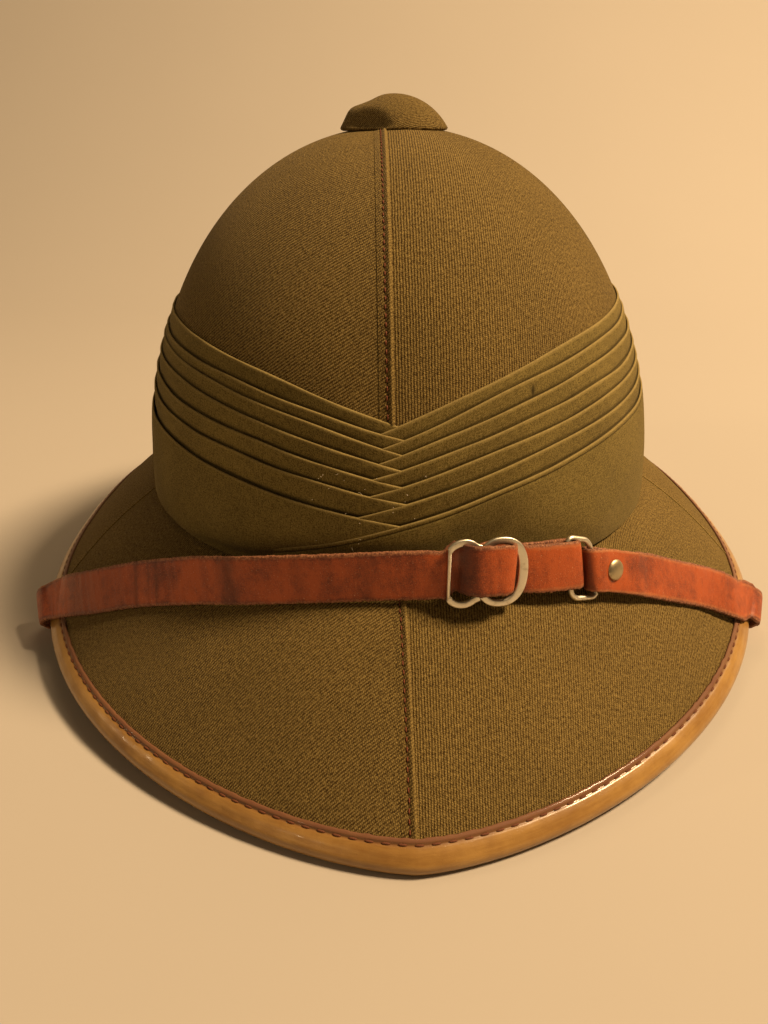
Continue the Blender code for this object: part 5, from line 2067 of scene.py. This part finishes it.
@dataclass
class Studio:
    """The floor, the lights and the camera; sizes from nearest to aim are metres."""

    distance: float = 320.4
    height: float = 174.1
    azimuth: float = -1.6
    pitch: float = 25.7
    roll: float = -0.3
    focal_pixels: float = 800.0
    offset_pixels: float = 13.7
    frame_height: float = 1024.0
    sensor: float = 36.0
    nearest: float = 0.02
    sweep_start: float = 0.50
    sweep_radius: float = 0.7
    floor_half_width: float = 5.0
    floor_ends: tuple[float, float] = (-4.0, 4.0)
    floor_below: float = 0.0002
    aim: float = 0.06
    ambient: float = 0.072
    warm: Colour = (1.0, 0.72, 0.42)

    def camera(self) -> None:
        """The camera at the photograph's place, from its azimuth, pitch and roll."""
        azimuth, pitch, roll = np.radians([self.azimuth, self.pitch, self.roll])
        back = np.array([np.sin(azimuth), -np.cos(azimuth), 0.0])
        place = back * self.distance + [0, 0, self.height] + ROW_SHIFT
        ahead = np.array([-np.sin(azimuth) * np.cos(pitch), np.cos(azimuth) * np.cos(pitch), -np.sin(pitch)])
        level = np.array([np.cos(azimuth), np.sin(azimuth), 0.0])
        upright = np.cross(level, ahead)
        right = level * np.cos(roll) + upright * np.sin(roll)
        up = -level * np.sin(roll) + upright * np.cos(roll)
        data = bpy.data.cameras.new("camera")
        data.sensor_width = self.sensor
        data.lens = self.focal_pixels * self.sensor / self.frame_height
        data.shift_x = -self.offset_pixels / self.frame_height
        data.clip_start = self.nearest
        camera = bpy.data.objects.new("camera", data)
        turn = Matrix([right, up, -ahead]).transposed().to_4x4()
        camera.matrix_world = Matrix.Translation(place * MM) @ turn
        bpy.context.scene.collection.objects.link(camera)
        bpy.context.scene.camera = camera

    def light(self, name: str, place: tuple[float, ...], size: float, power: float) -> None:
        """A square area light that points at the helmet.

        Args:
            name: its name.
            place: where it stands, in metres.
            size: its side, in metres.
            power: watts.
        """
        data = bpy.data.lights.new(name, "AREA")
        data.shape = "SQUARE"
        data.size = size
        data.energy = power
        data.color = self.warm
        lamp = bpy.data.objects.new(name, data)
        away = unit(np.array(place) - [0, 0, self.aim])
        side = unit(np.cross([0, 0, 1.0], away))
        turn = Matrix([side, np.cross(away, side), away]).transposed().to_4x4()
        lamp.matrix_world = Matrix.Translation(place) @ turn
        bpy.context.scene.collection.objects.link(lamp)

    def floor(self) -> None:
        """A wide floor that sweeps up behind the helmet: a quarter circle between two straight lines."""
        turn = np.linspace(0, np.pi / 2, 25)
        before, above = self.floor_ends
        rear = self.sweep_start + self.sweep_radius
        y = np.concatenate([[before], self.sweep_start + self.sweep_radius * np.sin(turn), [rear]])
        z = np.concatenate([[0.0], self.sweep_radius * (1 - np.cos(turn)), [above]]) - self.floor_below
        points = stack(np.array([[-self.floor_half_width], [self.floor_half_width]]), y[None], z[None])
        count = len(y)
        low = np.arange(count - 1)
        faces = np.stack([low, low + count, low + count + 1, low + 1], axis=1)
        mesh = bpy.data.meshes.new("floor")
        mesh.from_pydata(points.reshape(-1, 3).tolist(), [], faces.tolist())
        mesh.shade_smooth()
        floor = bpy.data.objects.new("floor", mesh)
        mesh.materials.append(Finish.FLOOR.material())
        bpy.context.scene.collection.objects.link(floor)

    def build(self) -> None:
        """Sets the studio up."""
        self.camera()
        self.floor()
        for name, (place, size, power) in LAMPS.items():
            self.light(name, place, size, power)
        world = bpy.data.worlds.new("studio")
        world.use_nodes = True
        background = world.node_tree.nodes["Background"].inputs
        background["Color"].default_value = (*self.warm, 1.0)
        background["Strength"].default_value = self.ambient
        bpy.context.scene.world = world
        bpy.context.scene.view_settings.view_transform = "Standard"


def main() -> None:
    """Builds the studio and the helmet."""
    logging.basicConfig(level=logging.INFO, format="%(message)s")
    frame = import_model()
    Studio().build()
    seams = Crown().build() + Brim().build()
    build_seams(seams)
    Binding().build()
    Pugaree().build()
    Button().build()
    route = Route()
    Strap(route, StrapSizes()).build()
    fittings = Fittings(route)
    fittings.build_buckle()
    fittings.build_ring()
    fittings.build_rivet()
    for node in ("strap_anchor_left", "strap_anchor_right"):
        dress(frame["nodes"][node], Finish.RIVET)


if __name__ == "__main__":
    main()
